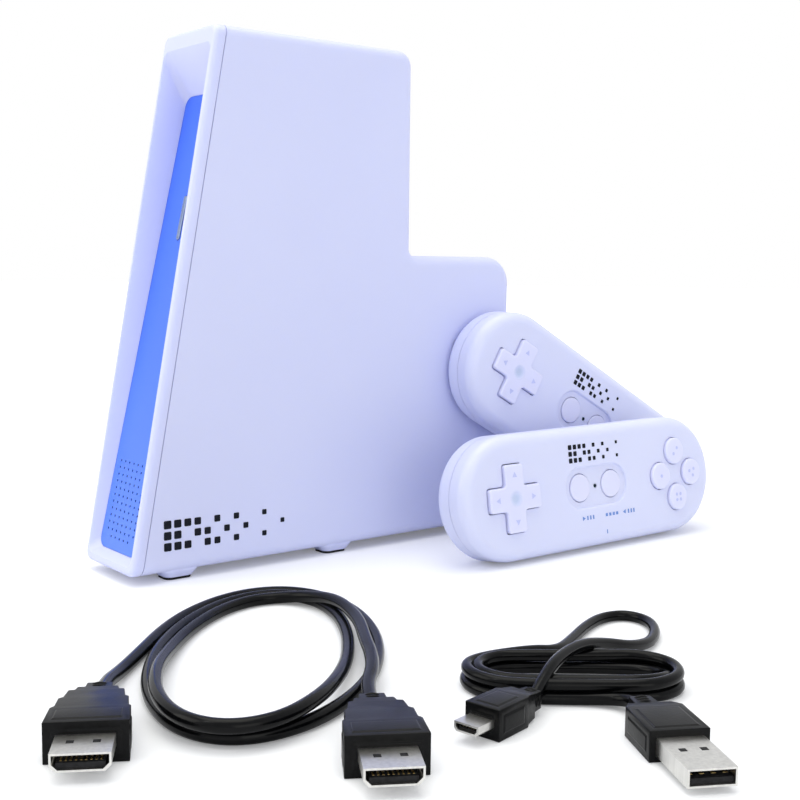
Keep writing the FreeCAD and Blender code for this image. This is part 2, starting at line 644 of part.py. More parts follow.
def build_pad_front():
    outer = rounded_at(pad_body(0, -PAD_SEAM + PAD_SEAM_GAP / 2, 0), 0, PAD_EDGE)
    inner = pad_body(PAD_WALL, -PAD_SEAM - 1, -PAD_WALL)
    inner = rounded_at(inner, -PAD_WALL, PAD_EDGE - PAD_WALL)
    under = POCKET_DEPTH + POCKET_FLOOR
    thick = prism(stadium(POCKET_LENGTH + 2 * POCKET_MARGIN, POCKET_HEIGHT + 2 * POCKET_MARGIN,
                          POCKET_CENTRE), -under, -PAD_WALL / 2)
    bosses = [disc(PAD_BOSS_RADIUS, x, y, -PAD_SEAM + PAD_SEAM_GAP / 2, -PAD_WALL / 2)
              for x, y in PAD_BOSSES]
    shell = joined(outer.cut(inner), thick, *bosses)
    pocket = prism(stadium(POCKET_LENGTH, POCKET_HEIGHT, POCKET_CENTRE), -POCKET_DEPTH, 1)
    pocket = rounded_at(pocket, -POCKET_DEPTH, POCKET_ROUND)
    cuts = [pocket, prism(cross_wire(CROSS_ARM + CROSS_CLEARANCE, CROSS_WIDTH / 2 + CROSS_CLEARANCE,
                                     CROSS_CORNER), -PAD_WALL - 1, 1)]
    for name, x, y in face_places():
        cuts.append(disc(FACE_RADIUS + BUTTON_CLEARANCE, x, y, -PAD_WALL - 1, 1))
    for name, x, y in option_places():
        cuts.append(disc(OPTION_RADIUS + BUTTON_CLEARANCE, x, y, -under - 1, 1))
    cuts.append(disc(LED_DOT_RADIUS + LED_DOT_CLEARANCE, POCKET_CENTRE, 0, -under - 1, 1))
    for x, y in PAD_BOSSES:
        cuts.append(disc(PAD_SCREW_RADIUS, x, y, -PAD_SEAM - 1, 0.2 - PAD_SCREW_TIP))
    shell = shell.cut(Part.makeCompound(cuts))
    rim = []
    for edge in shell.Edges:
        bounds = edge.BoundBox
        around_pocket = abs(bounds.Center.x - POCKET_CENTRE) < POCKET_LENGTH / 2
        if bounds.ZMin > -1e-4 and around_pocket and bounds.YMax < POCKET_HEIGHT / 2 + 0.1:
            if bounds.YMin > -POCKET_HEIGHT / 2 - 0.1:
                rim.append(edge)
    return shell.makeFillet(POCKET_ROUND, rim)


def cover_region(side_gap):
    """The space of the battery cover and its way out over the upper edge."""
    half = BAY_HALF_X + COVER_LAP - side_gap
    return box(-half, half, -BAY_HALF_Y - COVER_LAP + side_gap, PAD_HEIGHT, -PAD_DEPTH - 1,
               -COVER_IN - (COVER_SLIDE_GAP if side_gap else 0))


def build_pad_back():
    top = -PAD_SEAM - PAD_SEAM_GAP / 2
    outer = rounded_at(pad_body(0, -PAD_DEPTH, top), -PAD_DEPTH, PAD_EDGE)
    inner = pad_body(PAD_WALL, -PAD_DEPTH + PAD_WALL, top + 1)
    inner = rounded_at(inner, -PAD_DEPTH + PAD_WALL, PAD_EDGE - PAD_WALL)
    lip = pad_body(PAD_WALL + 0.1, top - 1, top + PAD_LIP)
    lip = lip.cut(pad_body(PAD_WALL + 1.1, top - 2, top + PAD_LIP + 1))
    lip_root = pad_body(PAD_WALL / 2, top - 1, top - 0.3).cut(pad_body(PAD_WALL + 1.1, top - 2, top + 1))
    bounds = pad_body(PAD_WALL / 2, -PAD_DEPTH, top)
    ledge = box(-BAY_HALF_X - COVER_LAP - 2, BAY_HALF_X + COVER_LAP + 2, -BAY_HALF_Y - COVER_LAP - 2,
                PAD_HEIGHT, -COVER_IN, -COVER_IN + LEDGE_THICK).common(bounds)
    bay_x = BAY_HALF_X + BAY_WALL
    bay_y = BAY_HALF_Y + BAY_WALL
    bay = box(-bay_x, bay_x, -bay_y, bay_y, -COVER_IN, top - 0.3)
    bosses = [disc(PAD_BOSS_RADIUS + PAD_BOSS_EXTRA, x, y, -PAD_DEPTH + 1, top).common(bounds)
              for x, y in PAD_BOSSES]
    shell = joined(outer.cut(inner), lip_root, lip, ledge, bay, *bosses)
    cuts = [cover_region(0), box(-BAY_HALF_X, BAY_HALF_X, -BAY_HALF_Y, BAY_HALF_Y, -PAD_DEPTH, top + 1)]
    for x, y in PAD_BOSSES:
        cuts.append(disc(PAD_SCREW_RADIUS + FIT, x, y, -PAD_DEPTH - 1, top + 3))
        cuts.append(disc(PAD_SCREW_HEAD + HEAD_CLEARANCE, x, y, -PAD_DEPTH - 1, PAD_SCREW_SINK - PAD_DEPTH))
        cuts.append(disc(PAD_BOSS_RADIUS + PAD_BOSS_CLEARANCE, x, y, top, top + PAD_LIP + 1))
    return shell.cut(Part.makeCompound(cuts))


def build_cover():
    outer = rounded_at(pad_body(0, -PAD_DEPTH, -PAD_SEAM), -PAD_DEPTH, PAD_EDGE)
    return outer.common(cover_region(COVER_CLEARANCE))


def build_cross():
    body = prism(cross_wire(CROSS_ARM, CROSS_WIDTH / 2, CROSS_CORNER), -CROSS_FLANGE_TOP, CROSS_PROUD)
    body = rounded_at(body, CROSS_PROUD, CROSS_CORNER / 2)
    flange = disc(CROSS_FLANGE_RADIUS, CROSS_CENTRE, 0, -CROSS_FLANGE_BOTTOM, -CROSS_FLANGE_TOP)
    sphere = (CROSS_DIMPLE_RADIUS ** 2 + CROSS_DIMPLE_DEPTH ** 2) / (2 * CROSS_DIMPLE_DEPTH)
    dimple = Part.makeSphere(sphere, V(CROSS_CENTRE, 0, CROSS_PROUD - CROSS_DIMPLE_DEPTH + sphere))
    socket = Part.makeSphere(BALL_RADIUS + BALL_CLEARANCE, V(CROSS_CENTRE, 0, -BALL_DEPTH))
    throat = disc(BALL_RADIUS + 0.6, CROSS_CENTRE, 0, -CROSS_FLANGE_BOTTOM - 1, -BALL_DEPTH - 0.8)
    return joined(body, flange).cut(dimple).cut(socket).cut(throat)


def build_ball():
    return Part.makeSphere(BALL_RADIUS, V(CROSS_CENTRE, 0, -BALL_DEPTH))


def push_button(radius, x, y, top, wall_under, dome):
    """A round button with a flange that bears on the wall from behind."""
    flange_top = -wall_under - BUTTON_REST_GAP
    stem = disc(radius, x, y, flange_top - 0.1, top)
    stem = rounded_at(stem, top, dome)
    flange = disc(radius + BUTTON_LAP, x, y, flange_top - BUTTON_FLANGE_THICK, flange_top)
    return joined(stem, flange)


def build_rubber():
    length = PAD_BOARD_LENGTH - 2 * RUBBER_INSET
    height = PAD_BOARD_HEIGHT - 2 * RUBBER_INSET
    sheet = prism(stadium(length, height), -RUBBER_LOW, -RUBBER_TOP)
    holes = [disc(BALL_RADIUS + 0.5, CROSS_CENTRE, 0, -RUBBER_LOW - 1, 0),
             disc(LED_DOT_RADIUS + 0.3, POCKET_CENTRE, 0, -RUBBER_LOW - 1, 0)]
    return sheet.cut(Part.makeCompound(holes))


def build_pad_board():
    """The controller's board, with the D-pad's post and the indicator."""
    board = prism(stadium(PAD_BOARD_LENGTH, PAD_BOARD_HEIGHT), -PAD_BOARD_LOW, -RUBBER_LOW)
    post = disc(BALL_RADIUS, CROSS_CENTRE, 0, -RUBBER_LOW, -POST_CUP_TOP)
    cup = Part.makeSphere(BALL_RADIUS + BALL_CLEARANCE, V(CROSS_CENTRE, 0, -BALL_DEPTH))
    lamp = disc(LED_DOT_RADIUS, POCKET_CENTRE, 0, -RUBBER_LOW, -POCKET_DEPTH - 0.1)
    return joined(board, post.cut(cup), lamp)


def build_cells():
    cells = []
    for side in (-1, 1):
        y = side * CELL_OFFSET
        half = CELL_LENGTH / 2
        can = rod_x(CELL_RADIUS, -half, half, y, -CELL_DEPTH)
        start = half if side > 0 else -half - CELL_NUB_LENGTH
        nub = rod_x(CELL_NUB_RADIUS, start, start + CELL_NUB_LENGTH, y, -CELL_DEPTH)
        cells.append(can.fuse(nub))
    return Part.makeCompound(cells)


def build_contacts():
    plates = []
    inner = CELL_LENGTH / 2 + CELL_NUB_LENGTH
    for side in (-1, 1):
        x0, x1 = (inner, inner + CONTACT_THICK) if side > 0 else (-inner - CONTACT_THICK, -inner)
        plate = box(x0, x1, -BAY_HALF_Y + 0.3, BAY_HALF_Y - 0.3, -COVER_IN + 0.6, -PAD_SEAM)
        spring_x = -side * CELL_NUB_LENGTH
        start = x0 + spring_x if side > 0 else x1
        spring = rod_x(CELL_NUB_RADIUS, start, start + CELL_NUB_LENGTH, -side * CELL_OFFSET, -CELL_DEPTH)
        plates.append(plate.fuse(spring))
    return Part.makeCompound(plates)


def build_pad_screws():
    screws = []
    head = PAD_SCREW_SINK - PAD_DEPTH
    low = head - PAD_SCREW_HEAD_THICK
    long, wide, deep = PAD_CROSS_SLOT
    for x, y in PAD_BOSSES:
        cap = disc(PAD_SCREW_HEAD, x, y, low, head)
        slot = box(x - long, x + long, y - wide, y + wide, low - 1, low + deep)
        cross = box(x - wide, x + wide, y - long, y + long, low - 1, low + deep)
        shank = disc(PAD_SCREW_RADIUS, x, y, head, head + PAD_SCREW_LENGTH)
        screws.append(joined(cap, shank).cut(slot.fuse(cross)))
    return Part.makeCompound(screws)


def pad_frame(name):
    """Where a controller's own axes stand in the console's frame."""
    centre, yaw, lean, turn = PAD_PLACES[name]
    rotation = (FreeCAD.Rotation(V(0, 0, 1), yaw) * FreeCAD.Rotation(V(0, 1, 0), -lean)
                * FreeCAD.Rotation(V(1, 1, 1), 120) * FreeCAD.Rotation(V(0, 0, 1), -turn))
    return FreeCAD.Placement(centre, rotation)


def build_controllers():
    pieces = {
        "front_shell": build_pad_front(),
        "back_shell": build_pad_back(),
        "battery_cover": build_cover(),
        "dpad": build_cross(),
        "dpad_pivot": build_ball(),
        "keypad_rubber": build_rubber(),
        "board": build_pad_board(),
        "batteries": build_cells(),
        "battery_contacts": build_contacts(),
        "case_screws": build_pad_screws(),
    }
    for name, x, y in face_places():
        pieces[name] = push_button(FACE_RADIUS, x, y, FACE_PROUD, PAD_WALL, FACE_DOME)
    for name, x, y in option_places():
        pieces[name] = push_button(OPTION_RADIUS, x, y, OPTION_PROUD - POCKET_DEPTH,
                                   POCKET_DEPTH + POCKET_FLOOR, OPTION_DOME)
    for pad in PAD_PLACES:
        frame = pad_frame(pad)
        for name, shape in pieces.items():
            nodes[pad + "_" + name] = placed(shape, frame)


# Leads. Their frame has X to the right along the coil's short way, Y away from the front, and
# Z up from the surface. Each plug is modelled along +X from its cord end.

LEAD_ROTATION = FreeCAD.Rotation(V(0, 0, 1), LEAD_TURN)
HDMI_GRIP_THICK = 10.4
HDMI_GRIP = ((0, 3.4), (5, 3.6), (5.6, 5.2), (8.5, 5.6), (9.2, 7.0), (15, 7.6), (16, 8.6),
             (22, 8.8), (23, 9.7), (33, 10.2))
HDMI_SHELL = (13.9, 4.45, 11.7, 1.4)     # width, height, length, cut of the lower corners
USB_A_GRIP = ((0, 3.0), (6, 3.4), (7, 6.2), (10, 7.6), (27, 7.8))
USB_A_GRIP_THICK = 8.0
USB_A_SHELL = (12.0, 4.5, 18.7, 0)
USB_B_GRIP = ((0, 2.6), (4, 2.8), (5, 3.9), (9, 4.4), (10, 5.2), (23, 5.4))
USB_B_GRIP_THICK = 8.4
USB_B_SHELL = (7.4, 2.6, 6.6, 0.7)
SHELL_SKIN = 0.5
SHELL_ROOT = 1.0            # closed length of the shell in front of its grip
SHELL_SINK = 1.5            # a plug's metal shell is held this deep in its grip
BLADE_GAP = 0.2             # between the contact blade and the shell's sides
BLADE_BACK = 0.8            # blade's end behind the shell's mouth
BLADE_SHARE = 0.42          # part of the mouth's height that the blade takes
GRIP_EDGE = 1.2             # rounding of a grip's long edges
ARC_SHARE = 0.45            # part of the shorter run that a cord's arc takes


def lead_frame(centre):
    return FreeCAD.Placement(centre - V(0, 0, STAND), LEAD_ROTATION)


def shell_bar(shell, wall, x0, x1):
    """The outer form of a plug's metal shell, or the same form moved in by a wall."""
    wide, high, _, cut = shell
    w, h = wide / 2 - wall, high / 2 - wall
    corners = [(w, h), (-w, h), (-w, -h + cut), (-w + cut, -h), (w - cut, -h), (w, -h + cut)]
    if cut == 0:
        corners = [(w, h), (-w, h), (-w, -h), (w, -h)]
    profile = Part.makePolygon([V(y, z, 0) for y, z in corners + corners[:1]])
    return placed(prism(profile, x0, x1), SIDE_FRAME)


def build_grip(outline, thick, shell):
    """A moulded plug grip with stepped shoulders, hollow where the metal shell is held."""
    corners = [(x, -half) for x, half in outline] + [(x, half) for x, half in reversed(outline)]
    grip = prism(Part.makePolygon([V(x, y, 0) for x, y in corners + corners[:1]]),
                 -thick / 2, thick / 2)
    rounded = []
    for edge in grip.Edges:
        bounds = edge.BoundBox
        level = bounds.ZMax - bounds.ZMin < 1e-4
        if level and abs(abs(bounds.ZMax) - thick / 2) < 1e-4 and bounds.XMax - bounds.XMin < 1e-4:
            continue
        if level and bounds.XMax > outline[-1][0] - 0.1:
            rounded.append(edge)
    end = outline[-1][0]
    return grip.makeFillet(GRIP_EDGE, rounded).cut(shell_bar(shell, 0, end - SHELL_SINK, end + 1))


def build_shell(outline, shell):
    """A plug's metal shell: a flat tube with its insulator inside."""
    wide, high, long, cut = shell
    start = outline[-1][0]
    tube = shell_bar(shell, 0, start - SHELL_SINK, start + long)
    tube = tube.cut(shell_bar(shell, SHELL_SKIN, start + SHELL_ROOT, start + long + 1))
    low = SHELL_SKIN - high / 2
    half = wide / 2 - SHELL_SKIN - BLADE_GAP - cut / 2
    blade = box(start, start + long - BLADE_BACK, -half, half, low,
                low + (high - 2 * SHELL_SKIN) * BLADE_SHARE)
    return joined(tube, blade)


def cord_tube(points, diameter):
    """A round tube along straight runs joined by the largest tangent arcs, and its length."""
    edges = []
    place = points[0]
    total = 0
    for before, corner, after in zip(points, points[1:], points[2:]):
        back = (before - corner).normalize()
        ahead = (after - corner).normalize()
        turn = math.pi - back.getAngle(ahead)
        run = min((before - corner).Length, (after - corner).Length)
        radius = ARC_SHARE * run / math.tan(turn / 2)
        reach = radius * math.tan(turn / 2)
        bisector = (back + ahead).normalize()
        middle = corner + bisector * (radius / math.cos(turn / 2) - radius)
        start = corner + back * reach
        end = corner + ahead * reach
        edges.append(Part.LineSegment(place, start).toShape())
        edges.append(Part.Arc(start, middle, end).toShape())
        print("cord arc radius", round(radius, 1))
        total += (start - place).Length + radius * turn
        place = end
    edges.append(Part.LineSegment(place, points[-1]).toShape())
    total += (points[-1] - place).Length
    along = (points[1] - points[0]).normalize()
    section = Part.Wire(Part.makeCircle(diameter / 2, points[0], along))
    tube = Part.Wire(edges).makePipeShell([section], True, False)
    print("cord length", round(total, 1), "volume ratio",
          round(tube.Volume / (math.pi * diameter ** 2 / 4 * total), 4))
    return tube


def plug_frame(place, heading):
    """A plug's own axes: its cord end's place and the way it points, in degrees."""
    return FreeCAD.Placement(place, FreeCAD.Rotation(V(0, 0, 1), heading))


HDMI_AXIS_HEIGHT = HDMI_GRIP_THICK / 2
USB_A_AXIS_HEIGHT = USB_A_GRIP_THICK / 2
USB_B_AXIS_HEIGHT = USB_B_GRIP_THICK / 2
HDMI_PLUGS = {"plug_1": (V(-36.5, -43, HDMI_AXIS_HEIGHT), -82),
              "plug_2": (V(34.5, -49, HDMI_AXIS_HEIGHT), -82)}
HDMI_TAILS = {"tail_1": [V(-35.4, -8, 2.4), V(-37.4, -20, 2.6), V(-37.9, -32, 4.2)],
              "tail_2": [V(33.0, -9, 6.3), V(34.7, -23, 6.1), V(32.8, -37, 5.5)]}
USB_PLUGS = {"plug_1": (V(-13, -27.5, USB_B_AXIS_HEIGHT), -130, USB_B_GRIP, USB_B_GRIP_THICK, USB_B_SHELL),
             "plug_2": (V(14, -32, USB_A_AXIS_HEIGHT), -80, USB_A_GRIP, USB_A_GRIP_THICK, USB_A_SHELL)}
USB_TAILS = {"tail_1": [V(12, 14, 4.5), V(4, 4, 9.2), V(-3, -7, 9.4), V(-8, -18, 8.0)],
             "tail_2": [V(-3, -21, 1.9), V(4.5, -22.5, 2.2), V(11, -25.5, 3.2)]}
USB_HANK = [(-34, -24), (34, -24), (34, 10), (29.5, 28), (31, 62), (10, 62), (-8, 20), (-34, 11)]
USB_HANK_CORNERS = [12, 12, 10, 8, 9, 9, 8, 12]


def build_hdmi_lead():
    frame = lead_frame(HDMI_COIL_CENTRE)
    half = HDMI_COIL_BAND / 2
    outer = Part.Ellipse(V(0, 0, 0), HDMI_COIL_HALF_LONG + half, HDMI_COIL_HALF_WIDE + half)
    inner = Part.Ellipse(V(0, 0, 0), HDMI_COIL_HALF_LONG - half, HDMI_COIL_HALF_WIDE - half)
    ring = prism(Part.Wire(outer.toShape()), 0, HDMI_COIL_HIGH)
    ring = ring.cut(prism(Part.Wire(inner.toShape()), -1, HDMI_COIL_HIGH + 1))
    ring = placed(ring, FreeCAD.Placement(V(0, 0, 0), FreeCAD.Rotation(V(0, 0, 1), 90)))
    nodes["hdmi_lead_coil"] = placed(ring, frame)
    for plug, (place, heading) in HDMI_PLUGS.items():
        there = frame.multiply(plug_frame(place, heading))
        tail = plug.replace("plug", "tail")
        points = HDMI_TAILS[tail] + [place]
        nodes["hdmi_lead_" + tail] = placed(cord_tube(points, HDMI_CORD), frame).cut(
            nodes["hdmi_lead_coil"])
        grip = build_grip(HDMI_GRIP, HDMI_GRIP_THICK, HDMI_SHELL)
        nodes["hdmi_lead_" + plug + "_body"] = placed(grip, there)
        nodes["hdmi_lead_" + plug + "_shell"] = placed(build_shell(HDMI_GRIP, HDMI_SHELL), there)


def build_usb_lead():
    frame = lead_frame(USB_HANK_CENTRE)
    hank = prism(rounded_wire(USB_HANK, USB_HANK_CORNERS), 0, USB_HANK_HIGH)
    nodes["usb_lead_hank"] = placed(hank, frame)
    for plug, (place, heading, outline, thick, shell) in USB_PLUGS.items():
        there = frame.multiply(plug_frame(place, heading))
        tail = plug.replace("plug", "tail")
        points = USB_TAILS[tail] + [place]
        nodes["usb_lead_" + tail] = placed(cord_tube(points, USB_CORD), frame).cut(
            nodes["usb_lead_hank"])
        nodes["usb_lead_" + plug + "_body"] = placed(build_grip(outline, thick, shell), there)
        nodes["usb_lead_" + plug + "_shell"] = placed(build_shell(outline, shell), there)


def common_origin():
    """Middle of the console and its controllers seen from above, on the surface they stand on."""
    solids = [shape for name, shape in nodes.items() if "_lead_" not in name]
    bounds = Part.makeCompound(solids).optimalBoundingBox(False)
    return V(-bounds.Center.x, -bounds.Center.y, STAND)


build_console()
build_controllers()
ORIGIN_SHIFT = common_origin()
build_hdmi_lead()
build_usb_lead()
os.makedirs("parts", exist_ok=True)
for node, shape in nodes.items():
    shape.translate(ORIGIN_SHIFT)
    shape.exportStep("parts/" + node + ".step")
print("origin shift", ORIGIN_SHIFT, "nodes", len(nodes))
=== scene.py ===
import json
import math
import bpy
from mathutils import Matrix, Vector


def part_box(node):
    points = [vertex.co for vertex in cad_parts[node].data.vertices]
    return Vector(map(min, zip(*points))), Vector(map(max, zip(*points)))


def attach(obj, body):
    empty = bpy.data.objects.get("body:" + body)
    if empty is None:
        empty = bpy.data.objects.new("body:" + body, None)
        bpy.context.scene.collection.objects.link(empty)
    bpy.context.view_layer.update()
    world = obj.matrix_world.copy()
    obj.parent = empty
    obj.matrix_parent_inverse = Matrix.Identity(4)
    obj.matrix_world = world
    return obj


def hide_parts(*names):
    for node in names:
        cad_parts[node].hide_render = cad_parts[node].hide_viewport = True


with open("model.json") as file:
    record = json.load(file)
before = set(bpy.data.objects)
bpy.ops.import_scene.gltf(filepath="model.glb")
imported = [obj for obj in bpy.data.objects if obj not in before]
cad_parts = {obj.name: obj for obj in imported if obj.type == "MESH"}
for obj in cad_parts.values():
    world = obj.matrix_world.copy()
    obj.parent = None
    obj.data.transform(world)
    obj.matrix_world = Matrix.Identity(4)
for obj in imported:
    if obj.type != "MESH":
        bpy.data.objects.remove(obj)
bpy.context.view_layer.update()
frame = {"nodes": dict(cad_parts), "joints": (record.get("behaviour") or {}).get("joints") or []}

# Camera: low, in front of the console's right front edge, and looking slightly down on the
# console, the two controllers and the leads in front of them.
azimuth = math.radians(51.406)
elevation = math.radians(6.429)
roll = math.radians(0.623)
camera_place = (0.38511, -0.33286, 0.1181)
bpy.ops.object.camera_add(location=camera_place)
camera = bpy.context.object
camera.name = "camera"
aim = Matrix.Rotation(azimuth, 3, "Z") @ Matrix.Rotation(math.pi / 2 - elevation, 3, "X")
camera.rotation_euler = (aim @ Matrix.Rotation(roll, 3, "Z")).to_euler()
camera.data.lens = 55.0
camera.data.sensor_width = 36.0
bpy.context.scene.camera = camera

# HDMI lead: a round black cord, 4 mm thick, with a moulded plug on each end. It was dropped on
# the floor in two and a half loose turns that differ a little and cross each other twice.
lead_turn = 51.4
lead_heading = Matrix.Rotation(math.radians(lead_turn), 3, "Z")
millimetre = 0.001


def on_floor(middle, x, y, z):
    """A place on a lead, in millimetres: right, away from the front and up from the floor."""
    return middle + lead_heading @ Vector((x, y, z)) * millimetre


def ramp(value, start, end):
    """Rises smoothly from 0 to 1 between two values."""
    share = min(max((value - start) / (end - start), 0), 1)
    return share * share * (3 - 2 * share)


def lay_cord(name, points, diameter):
    """A round cord along one smooth line with the points as its control points."""
    curve = bpy.data.curves.new(name, "CURVE")
    curve.dimensions = "3D"
    line = curve.splines.new("NURBS")
    line.points.add(len(points) - 1)
    for spot, point in zip(line.points, points):
        spot.co = (*point, 1)
    line.order_u = 3
    line.use_endpoint_u = True
    line.resolution_u = 8
    curve.bevel_depth = diameter / 2
    curve.bevel_resolution = 5
    curve.use_fill_caps = True
    cord = bpy.data.objects.new(name, curve)
    bpy.context.scene.collection.objects.link(cord)
    return cord


hdmi_low, hdmi_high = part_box("hdmi_lead_coil")
hdmi_middle = (hdmi_low + hdmi_high) / 2
hdmi_middle.z = 0
hdmi_diameter = 0.004
plug_1_neck = (-36.5, -43, 5.2)
plug_2_neck = (34.5, -49, 5.2)
hdmi_route = [plug_1_neck, (-37.9, -32, 4.2), (-37.5, -20, 2.5), (-36.2, -8, 2.1)]
coil_half_width = 31
coil_half_depth = 66
coil_low = 2.1
coil_rise = 4.3
coil_turns = 2.5
coil_steps = 16
# How much wider than the middle ring the cord runs, at each quarter of a turn
coil_offsets = (4.2, 4.2, 5.0, -1.0, 0.0, 0.0, -4.5, 3.5, -4.2, -4.2, 0.5)
for step in range(1, int(coil_turns * coil_steps)):
    turn = step / coil_steps
    quarter = int(turn * 4)
    part = ramp(turn * 4 - quarter, 0, 1)
    offset = coil_offsets[quarter] * (1 - part) + coil_offsets[quarter + 1] * part
    angle = math.pi - 2 * math.pi * turn
    # The cord climbs over itself, comes down again, and climbs over for its second end.
    lift = ramp(turn, 1.48, 1.62) - ramp(turn, 1.90, 2.04) + ramp(turn, 2.26, 2.38)
    hdmi_route.append(((coil_half_width + offset) * math.cos(angle),
                       (coil_half_depth + offset) * math.sin(angle), coil_low + coil_rise * lift))
hdmi_route += [(31.7, 0, 6.4), (33.4, -10, 6.3), (34.3, -23, 6.2), (32.9, -37, 5.6), plug_2_neck]
hdmi_points = [on_floor(hdmi_middle, *point) for point in hdmi_route]
hdmi_cord = lay_cord("hdmi_cord", hdmi_points, hdmi_diameter)


def new_material(name, settings):
    """A node material that reads Object coordinates, with some of the shader's inputs set."""
    material = bpy.data.materials.new(name)
    material.use_nodes = True
    material.node_tree.nodes.new("ShaderNodeTexCoord").name = "place"
    for socket, value in settings.items():
        shader_of(material).inputs[socket].default_value = value
    return material


def shader_of(material):
    """The material's one shader."""
    return material.node_tree.nodes["Principled BSDF"]


def place_of(material):
    """The material's Object coordinates."""
    return material.node_tree.nodes["place"].outputs["Object"]


def add_noise(material, scale, detail=2, place=None):
    """A noise pattern of one scale, on Object coordinates where no other place is given."""
    tree = material.node_tree
    noise = tree.nodes.new("ShaderNodeTexNoise")
    noise.inputs["Scale"].default_value = scale
    noise.inputs["Detail"].default_value = detail
    tree.links.new(place_of(material) if place is None else place, noise.inputs["Vector"])
    return noise.outputs["Fac"]


def add_tint(material, pattern, low, high, start=0, end=1):
    """Runs the base colour from one colour to another where a pattern goes from start to end."""
    tree = material.node_tree
    tint = tree.nodes.new("ShaderNodeValToRGB")
    for element, colour, position in zip(tint.color_ramp.elements, (low, high), (start, end)):
        element.position = position
        element.color = (*colour, 1)
    tree.links.new(pattern, tint.inputs["Fac"])
    tree.links.new(tint.outputs["Color"], shader_of(material).inputs["Base Color"])


def add_gloss(material, pattern, low, high):
    """Runs the roughness from one value to another along a pattern."""
    tree = material.node_tree
    gloss = tree.nodes.new("ShaderNodeMapRange")
    gloss.inputs["To Min"].default_value = low
    gloss.inputs["To Max"].default_value = high
    tree.links.new(pattern, gloss.inputs["Value"])
    tree.links.new(gloss.outputs["Result"], shader_of(material).inputs["Roughness"])


def add_relief(material, pattern, strength, distance):
    """Raises the surface along a pattern."""
    tree = material.node_tree
    bump = tree.nodes.new("ShaderNodeBump")
    bump.inputs["Strength"].default_value = strength
    bump.inputs["Distance"].default_value = distance
    tree.links.new(pattern, bump.inputs["Height"])
    tree.links.new(bump.outputs["Normal"], shader_of(material).inputs["Normal"])


def soft_black(name, colour, roughness, sheen_spread):
    """Black vinyl: glossy, with handling marks, a faint orange peel and a little dust."""
    vinyl = new_material(name, {"Specular IOR Level": 0.14})
    dusty = [2.5 * c + 0.002 for c in colour]
    add_tint(vinyl, add_noise(vinyl, 900, 4), colour, dusty, 0.35, 0.85)
    add_gloss(vinyl, add_noise(vinyl, 160, 3), roughness - sheen_spread, roughness + sheen_spread)
    add_relief(vinyl, add_noise(vinyl, 1400), 0.12, 0.0002)
    return vinyl


cord_vinyl = soft_black("cord_vinyl", (0.0009, 0.001, 0.0013), 0.19, 0.05)
hdmi_cord.data.materials.append(cord_vinyl)
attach(hdmi_cord, "hdmi_lead")
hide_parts("hdmi_lead_coil", "hdmi_lead_tail_1", "hdmi_lead_tail_2")

# USB lead: a thinner cord with a small plug and a large one. It is folded into a flat hank of
# a little over three turns in two layers, with one long loop pulled out of it to the back.
usb_middle = Vector((0.15011, -0.08241, 0))
usb_diameter = 0.0035
small_plug_neck = (-13, -27.5, 4.2)
large_plug_neck = (14, -32, 4.0)
usb_route = [large_plug_neck, (13.2, -27.9, 3.5), (10.6, -24.6, 2.8), (6.2, -22.6, 2.2),
             (0.5, -21.7, 1.8)]
hank_half = 16.5
hank_y = -7
hank_radius = 12.5
outer_radius = 14.5
step_in = 3.7
step_out = 3.4
hank_turns = 3.36
hank_steps = 14
layer_low = 1.8
layer_high = 5.4
bend = math.pi * hank_radius
for step in range(1, int(hank_turns * hank_steps)):
    turn = step / hank_steps
    # The second turn lies inside the first, and the last one outside again.
    radius = (outer_radius - step_in * ramp(turn, 0.80, 0.96)
              + step_out * ramp(turn, 2.52, 2.72))
    height = layer_low + (layer_high - layer_low) * ramp(turn, 1.66, 1.84)
    run = (turn % 1) * (4 * hank_half + 2 * math.pi * hank_radius)
    if run < hank_half:
        spot = (-run, hank_y - radius)
    elif run < hank_half + bend:
        angle = (run - hank_half) / hank_radius
        spot = (-hank_half - radius * math.sin(angle), hank_y - radius * math.cos(angle))
    elif run < 3 * hank_half + bend:
        spot = (run - 2 * hank_half - bend, hank_y + radius)
    elif run < 3 * hank_half + 2 * bend:
        angle = (run - 3 * hank_half - bend) / hank_radius
        spot = (hank_half + radius * math.sin(angle), hank_y + radius * math.cos(angle))
    else:
        spot = (4 * hank_half + 2 * bend - run, hank_y - radius)
    usb_route.append((*spot, height))
usb_route += [(-10, 11.5, 4.4), (-1, 17, 2.4), (5, 30, 1.8), (11.5, 44.5, 1.8), (18.5, 55, 1.8),
              (27, 58.5, 1.8), (33.5, 52, 1.8), (33.5, 40, 1.8), (29, 27.5, 1.9), (21.5, 18.5, 3.6),
              (12.5, 11.5, 6.8), (4, 2.5, 9.3), (-3, -8, 9.5), (-8.3, -18, 8.2), small_plug_neck]
usb_points = [on_floor(usb_middle, *point) for point in usb_route]
usb_cord = lay_cord("usb_cord", usb_points, usb_diameter)
usb_cord.data.materials.append(cord_vinyl)
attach(usb_cord, "usb_lead")
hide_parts("usb_lead_hank", "usb_lead_tail_1", "usb_lead_tail_2")

# Plug grips: black vinyl moulded over the end of each cord, with a short ringed boot and stepped
# shoulders for the fingers. A raised pad is moulded on each broad face.
grip_vinyl = soft_black("grip_vinyl", (0.001, 0.0011, 0.0014), 0.32, 0.06)


def pick(piece, wanted):
    """Selects the faces whose middle and normal meet a test, in edit mode."""
    bpy.ops.mesh.select_all(action="DESELECT")
    bpy.ops.object.mode_set(mode="OBJECT")
    for face in piece.data.polygons:
        face.select = wanted(face.center, face.normal)
    bpy.ops.object.mode_set(mode="EDIT")


def start_piece(name):
    """Names the primitive just added, and gives it its size and place in its mesh."""
    piece = bpy.context.object
    piece.name = name
    bpy.ops.object.transform_apply(location=True, rotation=True, scale=True)
    return piece


